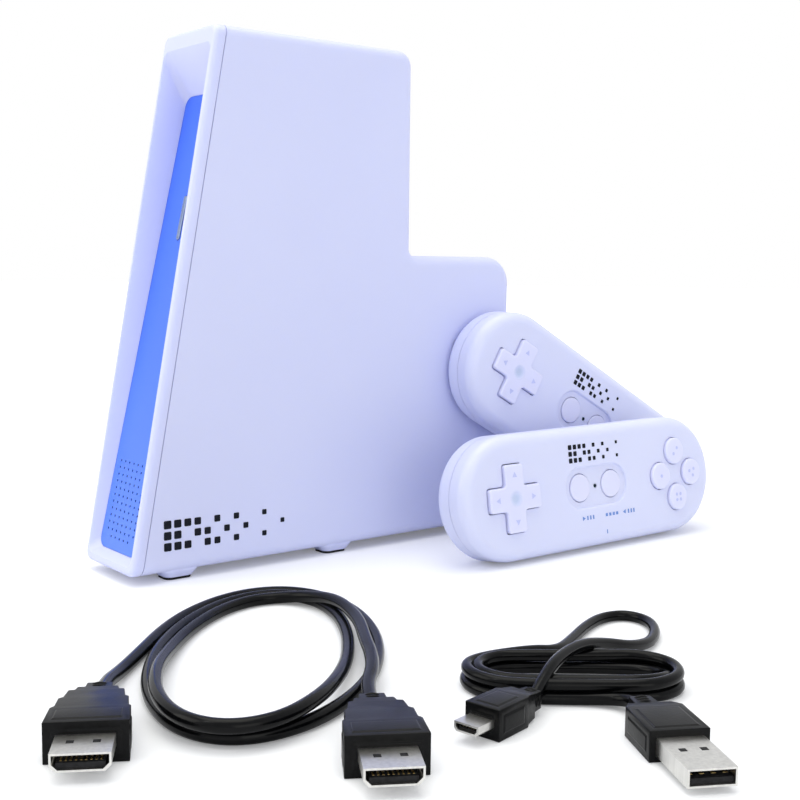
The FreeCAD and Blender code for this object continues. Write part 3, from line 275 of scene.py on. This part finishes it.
def apply_bevel(piece, width, segments):
    """Rounds the edges that turn by more than 30 degrees."""
    bevel = piece.modifiers.new("round", "BEVEL")
    bevel.width = width
    bevel.segments = segments
    bevel.limit_method = "ANGLE"
    bevel.angle_limit = math.radians(30)
    bpy.ops.object.modifier_apply(modifier=bevel.name)


pad_margin = 0.0018
pad_step = 0.0004
pad_rise = 0.00025
ring_thick = 0.0006


def make_grip(name, stations, boot_rings, place):
    """Extrudes a grip through its stations (distance, half width, half thickness)."""
    bpy.ops.object.select_all(action="DESELECT")
    first, wide, thick = stations[0]
    length = stations[1][0] - first
    bpy.ops.mesh.primitive_cube_add(size=1, location=((first + length / 2) * millimetre, 0, 0),
                                    scale=(length * millimetre, 2 * wide * millimetre,
                                           2 * thick * millimetre))
    grip = start_piece(name)
    bpy.ops.object.mode_set(mode="EDIT")
    previous = stations[1]
    pick(grip, lambda middle, normal: normal.x > 0.9)
    bpy.ops.transform.resize(value=(1, previous[1] / wide, previous[2] / thick))
    for station in stations[2:]:
        far = (previous[0] - 0.01) * millimetre
        pick(grip, lambda middle, normal: normal.x > 0.9 and middle.x > far)
        step = (station[0] - previous[0]) * millimetre
        bpy.ops.mesh.extrude_region_move(TRANSFORM_OT_translate={"value": (step, 0, 0)})
        bpy.ops.transform.resize(value=(1, station[1] / previous[1], station[2] / previous[2]))
        previous = station
    start = (stations[-2][0] + 0.1) * millimetre
    pick(grip, lambda middle, normal: abs(normal.z) > 0.9 and middle.x > start)
    bpy.ops.mesh.inset(thickness=pad_margin, use_individual=True)
    bpy.ops.mesh.inset(thickness=pad_step, depth=pad_rise, use_individual=True)
    bpy.ops.object.mode_set(mode="OBJECT")
    apply_bevel(grip, 0.0007, 3)
    rings = []
    for at in boot_rings:
        bpy.ops.mesh.primitive_torus_add(location=(at * millimetre, 0, 0),
                                         rotation=(0, math.pi / 2, 0),
                                         major_radius=stations[0][1] * millimetre,
                                         minor_radius=ring_thick,
                                         major_segments=32, minor_segments=10)
        ring = start_piece(name + "_ring")
        bpy.ops.object.mode_set(mode="EDIT")
        bpy.ops.mesh.select_all(action="SELECT")
        bpy.ops.transform.resize(value=(1, 1, stations[0][2] / stations[0][1]))
        bpy.ops.object.mode_set(mode="OBJECT")
        rings.append(ring)
    bpy.ops.object.select_all(action="DESELECT")
    for ring in rings:
        ring.select_set(True)
    grip.select_set(True)
    bpy.context.view_layer.objects.active = grip
    bpy.ops.object.join()
    bpy.ops.object.shade_smooth_by_angle(angle=math.radians(40))
    grip.data.transform(place)
    grip.data.materials.append(grip_vinyl)
    return grip


def plug_place(middle, neck, heading):
    """The plug's own axes: its cord end, and the way it points in degrees."""
    turn = Matrix.Rotation(math.radians(lead_turn + heading), 4, "Z")
    return Matrix.Translation(on_floor(middle, *neck)) @ turn


hdmi_stations = ((0, 3.3, 3.1), (4.6, 3.6, 3.3), (5.6, 5.1, 4.0), (8.3, 5.6, 4.2),
                 (9.4, 7.0, 4.5), (14.6, 7.6, 4.7), (16, 8.6, 4.9), (21.6, 8.8, 5.0),
                 (23, 9.7, 5.1), (33, 10.1, 5.15))
large_stations = ((0, 2.9, 2.6), (6, 3.3, 2.8), (7.4, 6.0, 3.5), (10.4, 7.6, 3.9),
                  (27, 7.7, 3.95))
small_stations = ((0, 2.5, 2.4), (3.8, 2.8, 2.6), (5, 3.9, 3.4), (8.6, 4.4, 3.9),
                  (10, 5.2, 4.1), (23, 5.35, 4.15))
hdmi_places = {"hdmi_lead_plug_1": plug_place(hdmi_middle, plug_1_neck, -82),
               "hdmi_lead_plug_2": plug_place(hdmi_middle, plug_2_neck, -82)}
small_place = plug_place(usb_middle, small_plug_neck, -130)
large_place = plug_place(usb_middle, large_plug_neck, -80)
grips = {}
for plug, place in hdmi_places.items():
    grips[plug] = make_grip(plug + "_grip", hdmi_stations, (1.2, 2.9), place)
    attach(grips[plug], "hdmi_lead")
grips["usb_lead_plug_1"] = make_grip("usb_lead_plug_1_grip", small_stations, (1.0, 2.4),
                                     small_place)
grips["usb_lead_plug_2"] = make_grip("usb_lead_plug_2_grip", large_stations, (1.2, 2.8, 4.4),
                                     large_place)
for plug in ("usb_lead_plug_1", "usb_lead_plug_2"):
    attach(grips[plug], "usb_lead")
for plug, grip in grips.items():
    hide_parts(plug + "_body")

# Plug shells: folded from nickel-plated sheet. The shells themselves come from the frame, and here
# they get their brushed plating, a pair of latch windows on each face drawn as black squares of
# painted shade, and the black contact blade with its gilt contacts in the mouth.


def bright_metal(name, colour, roughness, grain):
    """Plated sheet metal with fine drawing lines along it and handling haze."""
    metal = new_material(name, {"Metallic": 1})
    tree = metal.node_tree
    stretch = tree.nodes.new("ShaderNodeMapping")
    stretch.inputs["Scale"].default_value = grain
    tree.links.new(place_of(metal), stretch.inputs["Vector"])
    lines = add_noise(metal, 1000, 5, stretch.outputs["Vector"])
    add_tint(metal, lines, [0.72 * c for c in colour], colour, end=0.7)
    add_gloss(metal, add_noise(metal, 120), roughness * 0.75, roughness * 1.3)
    add_relief(metal, lines, 0.2, 0.00008)
    return metal


def finish_node(node, material):
    """Gives a piece of the frame one finish all over."""
    for slot in frame["nodes"][node].material_slots:
        slot.material = material


nickel = bright_metal("nickel_plating", (0.78, 0.77, 0.74), 0.3, (1, 1, 0.1))
gilt = bright_metal("gilt_contact", (0.9, 0.66, 0.3), 0.28, (1, 1, 0.3))
for plug in (*hdmi_places, "usb_lead_plug_1", "usb_lead_plug_2"):
    finish_node(plug + "_shell", nickel)


def small_block(name, centre, size, corner, material, place):
    """A small block with rounded edges, made at the origin and moved to its place."""
    bpy.ops.object.select_all(action="DESELECT")
    bpy.ops.mesh.primitive_cube_add(size=1, location=[c * millimetre for c in centre],
                                    scale=[s * millimetre for s in size])
    block = start_piece(name)
    apply_bevel(block, corner * millimetre, 2)
    bpy.ops.object.shade_smooth_by_angle(angle=math.radians(40))
    block.data.transform(place)
    block.data.materials.append(material)
    return block


def joined(name, pieces):
    """Joins pieces into the first one."""
    bpy.ops.object.select_all(action="DESELECT")
    for piece in pieces:
        piece.select_set(True)
    bpy.context.view_layer.objects.active = pieces[0]
    bpy.ops.object.join()
    pieces[0].name = name
    return pieces[0]


# Black moulding for the contact blades; the same black is painted shade in the latch windows.
blade_black_and_window_shade = soft_black("blade_black_and_window_shade", (0.01, 0.01, 0.011), 0.5, 0.05)
# For each plug: where the grip ends, the shell's width, height and length, how much narrower
# than the shell its blade is, and the number of contacts
plug_mouths = {"hdmi_lead_plug_1": (33, 13.9, 4.45, 11.7, 1.4, 9),
               "hdmi_lead_plug_2": (33, 13.9, 4.45, 11.7, 1.4, 9),
               "usb_lead_plug_1": (23, 7.4, 2.6, 6.6, 0.7, 5),
               "usb_lead_plug_2": (27, 12.0, 4.5, 18.7, 0, 4)}
plug_frames = {**hdmi_places, "usb_lead_plug_1": small_place, "usb_lead_plug_2": large_place}
plug_details = {}
shell_skin = 0.5
blade_share = 0.42
blade_shorter = 1.7
blade_narrower = 1.3
contact_margin = 3.4
contact_thick = 0.12
window_side = 1.9
window_thick = 0.3
window_sunk = 0.1
for plug, (end, wide, high, long, cut, contacts) in plug_mouths.items():
    place = plug_frames[plug]
    body = "hdmi_lead" if plug.startswith("hdmi") else "usb_lead"
    blade_low = shell_skin - high / 2
    blade_top = blade_low + (high - 2 * shell_skin) * blade_share + 0.08
    blade_middle = (end + (long + 0.3) / 2, 0, (blade_low + blade_top) / 2 + 0.01)
    blade = small_block(plug + "_blade", blade_middle,
                        (long - blade_shorter, wide - blade_narrower - cut,
                         blade_top - blade_low), 0.06, blade_black_and_window_shade, place)
    strips = []
    pitch = (wide - contact_margin - cut) / (contacts - 1)
    for number in range(contacts):
        across = (number - (contacts - 1) / 2) * pitch
        strips.append(small_block(plug + "_contact", (end + long * 0.6, across, blade_top + 0.04),
                                  (long * 0.5, pitch * 0.42, contact_thick), 0.04, gilt, place))
    contact_row = joined(plug + "_contacts", strips)
    plug_details[plug] = [blade, contact_row]
    if plug != "usb_lead_plug_1":
        # The latch windows are black squares of painted shade, not holes.
        window_shades = [small_block(plug + "_window",
                               (end + long * 0.42, across, side * (high / 2 - window_sunk)),
                               (window_side, window_side, window_thick), 0.14, blade_black_and_window_shade, place)
                   for side in (-1, 1) for across in (-wide * 0.22, wide * 0.22)]
        plug_details[plug].append(joined(plug + "_windows", window_shades))
    for piece in plug_details[plug]:
        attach(piece, body)

hdmi_pieces = [grips["hdmi_lead_plug_1"], grips["hdmi_lead_plug_2"]]
usb_pieces = [grips["usb_lead_plug_1"], grips["usb_lead_plug_2"]]
for plug in hdmi_places:
    hdmi_pieces += [frame["nodes"][plug + "_shell"], *plug_details[plug]]
for plug in ("usb_lead_plug_1", "usb_lead_plug_2"):
    usb_pieces += [frame["nodes"][plug + "_shell"], *plug_details[plug]]

# Casing: two moulded halves of pale lavender-white plastic and the bezel that frames the front
# recess. The mould has a fine even spark texture, and the plastic lets a little light in.


def moulded_white(name, colour, deep, roughness, grain):
    """Pale moulded plastic: fine spark grain, slow colour drift and slight handling sheen."""
    plastic = new_material(name, {"Subsurface Weight": 0.25, "Subsurface Scale": 0.006,
                                  "Subsurface Radius": (0.6, 0.7, 1.0)})
    add_tint(plastic, add_noise(plastic, 14), deep, colour, 0.3, 0.7)
    add_gloss(plastic, add_noise(plastic, 45, 5), roughness - 0.05, roughness + 0.07)
    add_relief(plastic, add_noise(plastic, grain), 0.16, 0.00008)
    return plastic


casing_white = moulded_white("casing_white", (0.63, 0.665, 0.975), (0.615, 0.65, 0.965), 0.36,
                             2200)
for node in ("left_shell", "right_shell", "front_bezel"):
    finish_node(node, casing_white)

# Side mark: a plain printed pattern of small navy squares that thins out to the right. It is
# pad-printed on the casing's right side, low down behind the front edge.


def print_and_painted_shade_ink(name, colour, worn):
    """Matt pad-printing ink, slightly uneven where the pad lifted; the same finish also carries
    painted shade.
    """
    ink = new_material(name, {"Roughness": 0.62, "Specular IOR Level": 0.18})
    add_tint(ink, add_noise(ink, 1800, 3), colour, worn, 0.4, 0.9)
    return ink


navy_ink = print_and_painted_shade_ink("navy_ink", (0.002, 0.003, 0.008), (0.008, 0.010, 0.022))
ink_thick = 0.00005
ink_lift = 0.00002
square_shrink = 0.035
mark_rows = ((1, 1, 1, 1, 0, 1, 0, 1, 0, 0, 1, 0, 0),
             (1, 1, 0, 1, 1, 0, 1, 0, 1, 0, 0, 0, 1),
             (1, 1, 1, 0, 1, 1, 0, 1, 0, 0, 1, 0, 0))


def print_square(name, centre, side, thick):
    """One printed square with slightly rounded corners."""
    bpy.ops.mesh.primitive_cube_add(size=1, location=(centre[0], centre[1], 0),
                                    scale=(side, side, thick))
    square = start_piece(name)
    bpy.ops.object.mode_set(mode="EDIT")
    bpy.ops.mesh.select_mode(type="EDGE")
    bpy.ops.mesh.select_all(action="DESELECT")
    bpy.ops.object.mode_set(mode="OBJECT")
    points = square.data.vertices
    for edge in square.data.edges:
        first, second = (points[index].co for index in edge.vertices)
        edge.select = abs(first.z - second.z) > thick / 2
    bpy.ops.object.mode_set(mode="EDIT")
    bpy.ops.mesh.bevel(offset=side * 0.16, segments=3)
    bpy.ops.mesh.select_mode(type="FACE")
    bpy.ops.object.mode_set(mode="OBJECT")
    return square


def print_pattern(name, rows, length, side, material, place):
    """Rows of squares, centred in a place's XY plane. Each is a little smaller than the last."""
    pitch = length / len(rows[0])
    squares = []
    for down, row in enumerate(rows):
        for across, shown in enumerate(row):
            if not shown:
                continue
            bpy.ops.object.select_all(action="DESELECT")
            size = side * (1 - square_shrink * across)
            centre = ((across - (len(row) - 1) / 2) * pitch, ((len(rows) - 1) / 2 - down) * pitch)
            squares.append(print_square(name + "_square", centre, size, ink_thick))
    pattern = joined(name, squares)
    pattern.data.transform(place)
    pattern.data.materials.append(material)
    return pattern


side_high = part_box("right_shell")[1]
deck_length = 0.185
side_mark_length = 0.054
side_square = 0.0031
side_frame = Matrix(((0, 0, 1, side_high.x), (1, 0, 0, side_high.y - deck_length),
                     (0, 1, 0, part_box("front_bezel")[0].z), (0, 0, 0, 1)))
side_mark = print_pattern("side_mark", mark_rows, side_mark_length, side_square, navy_ink,
                          side_frame @ Matrix.Translation((0.0397, 0.0142, ink_lift)))
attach(side_mark, "console")

# Front panel: a translucent blue plastic plate with the speaker grille drilled in its foot. Painted
# shade darkens its colour towards the top, where the recess is deep.
panel_low, panel_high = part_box("front_panel")
panel_blue = moulded_white("panel_blue", (0.088, 0.228, 1.0), (0.081, 0.216, 0.98), 0.3, 2600)
tree = panel_blue.node_tree
height = tree.nodes.new("ShaderNodeSeparateXYZ")
share = tree.nodes.new("ShaderNodeMapRange")
share.inputs["From Min"].default_value = panel_low.z
share.inputs["From Max"].default_value = panel_high.z
# Painted shade: a ramp that darkens the panel's colour from the foot towards the top.
depth = tree.nodes.new("ShaderNodeValToRGB")
depth.color_ramp.elements[0].color = (1, 1, 1, 1)
depth.color_ramp.elements[0].position = 0.1
depth.color_ramp.elements[1].color = (0.5, 0.7, 0.95, 1)
depth.color_ramp.elements.new(0.5).color = (0.69, 0.815, 0.98, 1)
tree.links.new(place_of(panel_blue), height.inputs["Vector"])
tree.links.new(height.outputs["Z"], share.inputs["Value"])
tree.links.new(share.outputs["Result"], depth.inputs["Fac"])


def mix_base(material, blend_type):
    """Puts a colour mix before the shader; gives it, its two colour inputs and the old base."""
    tree = material.node_tree
    blend = tree.nodes.new("ShaderNodeMix")
    blend.data_type = "RGBA"
    blend.blend_type = blend_type
    colours = [socket for socket in blend.inputs if socket.type == "RGBA"]
    base = shader_of(material).inputs["Base Color"].links[0].from_socket
    mixed = next(socket for socket in blend.outputs if socket.type == "RGBA")
    tree.links.new(mixed, shader_of(material).inputs["Base Color"])
    return blend, *colours, base


# The painted shade multiplies the panel's own blue.
blend, first, second, base = mix_base(panel_blue, "MULTIPLY")
blend.inputs["Factor"].default_value = 1
tree.links.new(base, first)
tree.links.new(depth.outputs["Color"], second)
finish_node("front_panel", panel_blue)

# Grille holes: painted shade, a small black disc just inside each of the panel's holes, so that
# every hole shows dark as a small round patch.
painted_hole_shade = soft_black("painted_hole_shade", (0.004, 0.006, 0.02), 0.8, 0.05)
front_foot = Vector((-0.0303915, -0.1400149, 0.0034))
casing_lean = math.radians(79.602)
panel_lean = math.radians(-2.565)
panel_sunk = 0.0026
panel_frame = (Matrix.Translation(front_foot) @ Matrix.Rotation(casing_lean, 4, "X")
               @ Matrix.Translation((0, 0, -panel_sunk)) @ Matrix.Rotation(panel_lean, 4, "X"))
hole_pitch_x = 3.45
hole_pitch_y = 2.61
first_row = 14
hole_shade_depth = -0.0004
hole_shade_radius = 0.00049
hole_shade_thick = 0.0003
# One black disc of painted shade in every grille hole.
hole_shade_spots = []
for row in range(-1, 11):
    columns = 5 if row < 0 else 7
    for column in range(columns):
        bpy.ops.object.select_all(action="DESELECT")
        across = (column - (columns - 1) / 2) * hole_pitch_x * millimetre
        up = (first_row + row * hole_pitch_y) * millimetre
        bpy.ops.mesh.primitive_cylinder_add(vertices=16, radius=hole_shade_radius, depth=hole_shade_thick,
                                            location=(across, up, hole_shade_depth))
        hole_shade_spots.append(start_piece("painted_hole_shade"))
        apply_bevel(hole_shade_spots[-1], 0.00005, 1)
hole_shade_discs = joined("painted_hole_shade", hole_shade_spots)
hole_shade_discs.data.transform(panel_frame)
hole_shade_discs.data.materials.append(painted_hole_shade)
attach(hole_shade_discs, "console")

# Power button: a slim moulded capsule with a satin silver finish. It stands a little proud of
# the slot in the front panel, and a flange behind the panel keeps it in.
satin_silver = bright_metal("satin_silver", (0.32, 0.4, 0.56), 0.3, (0.15, 1, 1))
finish_node("power_button", satin_silver)

# Inside the console: the speaker behind the grille, the indicator board behind the panel, and
# the main board with its chips and the two sockets on the back.


def board_green(name, colour):
    """Solder mask over copper: tracks show through it as slightly raised, lighter lines."""
    mask = new_material(name, {"Roughness": 0.35})
    tree = mask.node_tree
    tracks = tree.nodes.new("ShaderNodeTexBrick")
    tracks.inputs["Scale"].default_value = 220
    tracks.inputs["Mortar Size"].default_value = 0.03
    tracks.inputs["Color1"].default_value = (*colour, 1)
    tracks.inputs["Color2"].default_value = (*[0.8 * c for c in colour], 1)
    tracks.inputs["Mortar"].default_value = (*[1.9 * c + 0.01 for c in colour], 1)
    tree.links.new(place_of(mask), tracks.inputs["Vector"])
    tree.links.new(tracks.outputs["Color"], shader_of(mask).inputs["Base Color"])
    add_relief(mask, tracks.outputs["Fac"], 0.3, 0.0001)
    return mask


solder_mask = board_green("solder_mask", (0.01, 0.09, 0.035))
dark_moulding = soft_black("dark_moulding", (0.009, 0.009, 0.012), 0.55, 0.06)
for node in ("main_board", "led_board"):
    finish_node(node, solder_mask)
for node in ("board_chips", "speaker"):
    finish_node(node, dark_moulding)
for node in ("hdmi_socket", "power_socket"):
    finish_node(node, nickel)

# Feet and screws: soft black rubber pads are glued into the casing's feet, and zinc-plated
# screws with a cross slot hold the casing halves together from the left side.
foot_rubber = soft_black("foot_rubber", (0.012, 0.012, 0.013), 0.8, 0.06)
zinc = bright_metal("zinc_plating", (0.62, 0.63, 0.64), 0.36, (1, 1, 1))
finish_node("foot_pads", foot_rubber)
finish_node("case_screws", zinc)

# Controllers: each has a white face and back, closed by six screws from behind, and holds its
# keys on a rubber mat. The finish is the casing's plastic, and the keys are a touch lighter.
pad_white = moulded_white("pad_white", (0.665, 0.70, 0.98), (0.65, 0.685, 0.97), 0.34, 2600)
key_white = moulded_white("key_white", (0.70, 0.72, 0.985), (0.685, 0.705, 0.975), 0.3, 3200)
mat_rubber = moulded_white("mat_rubber", (0.35, 0.37, 0.42), (0.31, 0.33, 0.38), 0.6, 1500)
cell_jacket = bright_metal("cell_jacket", (0.14, 0.2, 0.42), 0.4, (1, 1, 1))
pads = ("controller_1", "controller_2")
for pad in pads:
    for piece in ("front_shell", "back_shell", "battery_cover"):
        finish_node(pad + "_" + piece, pad_white)
    for key in ("a", "b", "x", "y", "start", "select"):
        finish_node(pad + "_" + key + "_button", key_white)
    finish_node(pad + "_dpad_pivot", dark_moulding)
    finish_node(pad + "_keypad_rubber", mat_rubber)
    finish_node(pad + "_board", solder_mask)
    finish_node(pad + "_batteries", cell_jacket)
    finish_node(pad + "_battery_contacts", nickel)
    finish_node(pad + "_case_screws", zinc)

# A controller's own axes come from its joints: along it, up its face and out of its face, all
# from the middle of the face.
joints = {joint["name"]: joint for joint in frame["joints"]}
pivot_x = 0.0475
pivot_depth = 0.0014
pad_frames = {}
for pad in pads:
    along = Vector(joints[pad + "_dpad_up_down"]["axis"])
    up = Vector(joints[pad + "_dpad_left_right"]["axis"])
    out = -Vector(joints[pad + "_a_press"]["axis"])
    pivot = Vector(joints[pad + "_dpad_up_down"]["pos_m"])
    middle = pivot + along * pivot_x + out * pivot_depth
    turned = Matrix((along, up, out)).transposed().to_4x4()
    pad_frames[pad] = Matrix.Translation(middle) @ turned

# Cross key: the same white plastic, with painted shade tinting its thumb dimple darker and bluer,
# and four faint raised triangles that point along its arms, tinted darker with painted shade.
dimple_near = 0.0012
dimple_far = 0.0036
for pad in pads:
    cross_white = key_white.copy()
    cross_white.name = pad + "_cross_white"
    tree = cross_white.node_tree
    distance = tree.nodes.new("ShaderNodeVectorMath")
    distance.operation = "DISTANCE"
    distance.inputs[1].default_value = pad_frames[pad] @ Vector((-pivot_x, 0, 0.001))
    reach = tree.nodes.new("ShaderNodeMapRange")
    reach.inputs["From Min"].default_value = dimple_near
    reach.inputs["From Max"].default_value = dimple_far
    # Painted shade: the thumb dimple is tinted darker and bluer than the key, fading out towards
    # its rim.
    blend, dimple_painted_shade, outside, base = mix_base(cross_white, "MIX")
    dimple_painted_shade.default_value = (0.52, 0.61, 0.88, 1)
    tree.links.new(base, outside)
    tree.links.new(place_of(cross_white), distance.inputs[0])
    tree.links.new(distance.outputs["Value"], reach.inputs["Value"])
    tree.links.new(reach.outputs["Result"], blend.inputs["Factor"])
    finish_node(pad + "_dpad", cross_white)

# Painted shade: the darker tint of the cross key's raised triangles and the face keys' dots.
relief_painted_shade = print_and_painted_shade_ink("relief_painted_shade", (0.50, 0.54, 0.88), (0.58, 0.62, 0.92))


def raised_shape(name, sides, radius, thick, spot, turn, material, place):
    """A low raised prism with softened edges: three sides make a triangle, many a dot."""
    bpy.ops.object.select_all(action="DESELECT")
    bpy.ops.mesh.primitive_cylinder_add(vertices=sides, radius=radius, depth=thick, location=spot,
                                        rotation=(0, 0, turn))
    shape = start_piece(name)
    apply_bevel(shape, thick * 0.4, 2)
    bpy.ops.object.shade_smooth_by_angle(angle=math.radians(40))
    shape.data.transform(place)
    shape.data.materials.append(material)
    return shape


cross_top = 0.0017
arrow_reach = 0.0091
arrow_radius = 0.0014
arrow_thick = 0.00012
for pad in pads:
    arrows = []
    for number in range(4):
        heading = number * math.pi / 2
        spot = (-pivot_x + arrow_reach * math.cos(heading), arrow_reach * math.sin(heading),
                cross_top)
        arrows.append(raised_shape(pad + "_arrow", 3, arrow_radius, arrow_thick, spot,
                                   heading - math.pi / 2, relief_painted_shade, pad_frames[pad]))
    arrows = joined(pad + "_arrows", arrows)
    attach(arrows, pad + "_dpad")

# Face keys: one to four raised dots mark each key, tinted darker with the same painted shade as the
# cross key's triangles. Each dot is a low moulded pip with a softened rim.
key_spots = {"y": (-1, 0, 1), "x": (0, 1, 2), "a": (1, 0, 3), "b": (0, -1, 4)}
face_middle = 0.0485
face_reach = 0.01005
key_top = 0.0015
dot_ring = 0.0017
dot_radius = 0.00075
dot_thick = 0.0002
for pad in pads:
    for key, (across, up, dots) in key_spots.items():
        pips = []
        for number in range(dots):
            heading = math.pi / 4 + number * 2 * math.pi / dots
            ring = 0 if dots == 1 else dot_ring
            spot = (face_middle + across * face_reach + ring * math.cos(heading),
                    up * face_reach + ring * math.sin(heading), key_top - 0.00006 * (dots > 1))
            pips.append(raised_shape(pad + "_pip", 16, dot_radius, dot_thick, spot, 0,
                                     relief_painted_shade, pad_frames[pad]))
        pips = joined(pad + "_" + key + "_pips", pips)
        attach(pips, pad + "_" + key + "_button")

# Pocket: a dark indicator lens sits between the two round keys. Blue signs are printed under
# them, with one or two bars for the controller's number, and the navy pattern above them.
lens_dark = soft_black("lens_dark", (0.01, 0.012, 0.03), 0.15, 0.03)
blue_ink = print_and_painted_shade_ink("blue_ink", (0.12, 0.24, 0.62), (0.3, 0.42, 0.8))
pad_mark_rows = tuple(row[:12] for row in mark_rows)
pocket_middle = -0.0005
pocket_floor = -0.0011
lens_radius = 0.0006
lens_thick = 0.0005
pad_mark_length = 0.033
pad_square = 0.0020
sign_up = -12.6
tally_up = -19.5
sign_bars = [(across, sign_up, 0.8, 1.7) for across in (-7.4, -5.7, -4.0, 17.2, 18.9, 20.6)]
sign_bars += [(across, sign_up, 1.3, 1.3) for across in (3.9, 6.0, 8.1, 10.2)]
for number, pad in enumerate(pads, start=1):
    place = pad_frames[pad]
    lens = raised_shape(pad + "_lens", 24, lens_radius, lens_thick,
                        (pocket_middle, 0, pocket_floor), 0, lens_dark, place)
    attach(lens, pad)
    mark = print_pattern(pad + "_mark", pad_mark_rows, pad_mark_length, pad_square, navy_ink,
                         place @ Matrix.Translation((0.0006, 0.0143, ink_lift)))
    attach(mark, pad)
    signs = [raised_shape(pad + "_sign", 3, 0.0011, ink_thick,
                          (across, sign_up * millimetre, ink_lift), turn, blue_ink, place)
             for across, turn in ((-0.0098, -math.pi / 2), (0.0149, math.pi / 2))]
    bars = sign_bars + [(3.5 + 1.4 * tally, tally_up, 0.5, 1.7) for tally in range(number)]
    for across, up, wide, high in bars:
        signs.append(small_block(pad + "_sign", (across, up, ink_lift / millimetre),
                                 (wide, high, ink_thick / millimetre), 0.02, blue_ink, place))
    signs = joined(pad + "_signs", signs)
    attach(signs, pad)

# Battery covers: five low ridges near the upper edge give the thumb a hold. They are moulded
# in one with the cover, and stand 0.2 mm proud of it.
cover_back = -17.98
ridge_size = (15, 0.9, 0.4)
ridge_heights = (8, 9.8, 11.6, 13.4, 15.2)
for pad in pads:
    ridges = [small_block(pad + "_ridge", (0, up, cover_back), ridge_size, 0.15, pad_white,
                          pad_frames[pad]) for up in ridge_heights]
    ridges = joined(pad + "_ridges", ridges)
    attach(ridges, pad + "_battery_cover")

# Studio: a plain pale floor that glows towards the horizon, a large softbox overhead, weaker
# ones in front and to the side, a small bright lamp for glints, and an even pale surround.
bpy.ops.object.select_all(action="DESELECT")
bpy.ops.mesh.primitive_circle_add(vertices=96, radius=6, fill_type="NGON")
floor = bpy.context.object
floor.name = "floor"
glow_starts = 0.3
glow_full = 1.6
faint_glow = 0.16
full_glow = 0.9
floor_paint = new_material("floor_paint", {"Roughness": 0.7, "Specular IOR Level": 0.2,
                                           "Emission Color": (1, 1, 1, 1)})
add_tint(floor_paint, add_noise(floor_paint, 6), (0.80, 0.81, 0.84), (0.83, 0.84, 0.86))
tree = floor_paint.node_tree
away = tree.nodes.new("ShaderNodeVectorMath")
away.operation = "LENGTH"
glow = tree.nodes.new("ShaderNodeMapRange")
glow.inputs["From Min"].default_value = glow_starts
glow.inputs["From Max"].default_value = glow_full
glow.inputs["To Min"].default_value = faint_glow
glow.inputs["To Max"].default_value = full_glow
viewed = tree.nodes.new("ShaderNodeLightPath")
shown = tree.nodes.new("ShaderNodeMath")
shown.operation = "MULTIPLY"
tree.links.new(place_of(floor_paint), away.inputs[0])
tree.links.new(away.outputs["Value"], glow.inputs["Value"])
tree.links.new(glow.outputs["Result"], shown.inputs[0])
tree.links.new(viewed.outputs["Is Camera Ray"], shown.inputs[1])
tree.links.new(shown.outputs["Value"], shader_of(floor_paint).inputs["Emission Strength"])
floor.data.materials.append(floor_paint)


def softbox(name, place, target, size, power, colour):
    """A square area light that faces a target."""
    bpy.ops.object.light_add(type="AREA", location=place)
    light = bpy.context.object
    light.name = name
    light.data.size = size
    light.data.energy = power
    light.data.color = colour
    light.rotation_euler = (Vector(target) - Vector(place)).to_track_quat("-Z", "Y").to_euler()


softbox("top_light", place=(-0.1, -0.1, 1.3), target=(0, 0, 0), size=1.2, power=9.8,
        colour=(1, 0.99, 0.91))
softbox("front_light", place=(-0.6, -1.2, 0.7), target=(0, 0, 0.1), size=0.9, power=4.6,
        colour=(1, 0.98, 0.9))
softbox("side_light", place=(1.15, -0.3, 0.15), target=(0, 0, 0), size=0.8, power=2.5,
        colour=(1, 0.99, 0.9))
softbox("spark_light", place=(0, -0.75, 0.8), target=(0.1, -0.15, 0), size=0.05, power=0.35,
        colour=(1, 1, 1))
world = bpy.data.worlds.new("surround")
bpy.context.scene.world = world
world.use_nodes = True
tree = world.node_tree
surround = tree.nodes["Background"]
surround.inputs["Color"].default_value = (0.95, 0.96, 0.98, 1)
surround.inputs["Strength"].default_value = 0.86
backdrop = tree.nodes.new("ShaderNodeBackground")
backdrop.inputs["Color"].default_value = (1, 1, 1, 1)
seen = tree.nodes.new("ShaderNodeLightPath")
either = tree.nodes.new("ShaderNodeMixShader")
tree.links.new(seen.outputs["Is Camera Ray"], either.inputs["Fac"])
tree.links.new(surround.outputs["Background"], either.inputs[1])
tree.links.new(backdrop.outputs["Background"], either.inputs[2])
tree.links.new(either.outputs["Shader"], tree.nodes["World Output"].inputs["Surface"])
bpy.context.scene.view_settings.view_transform = "Standard"
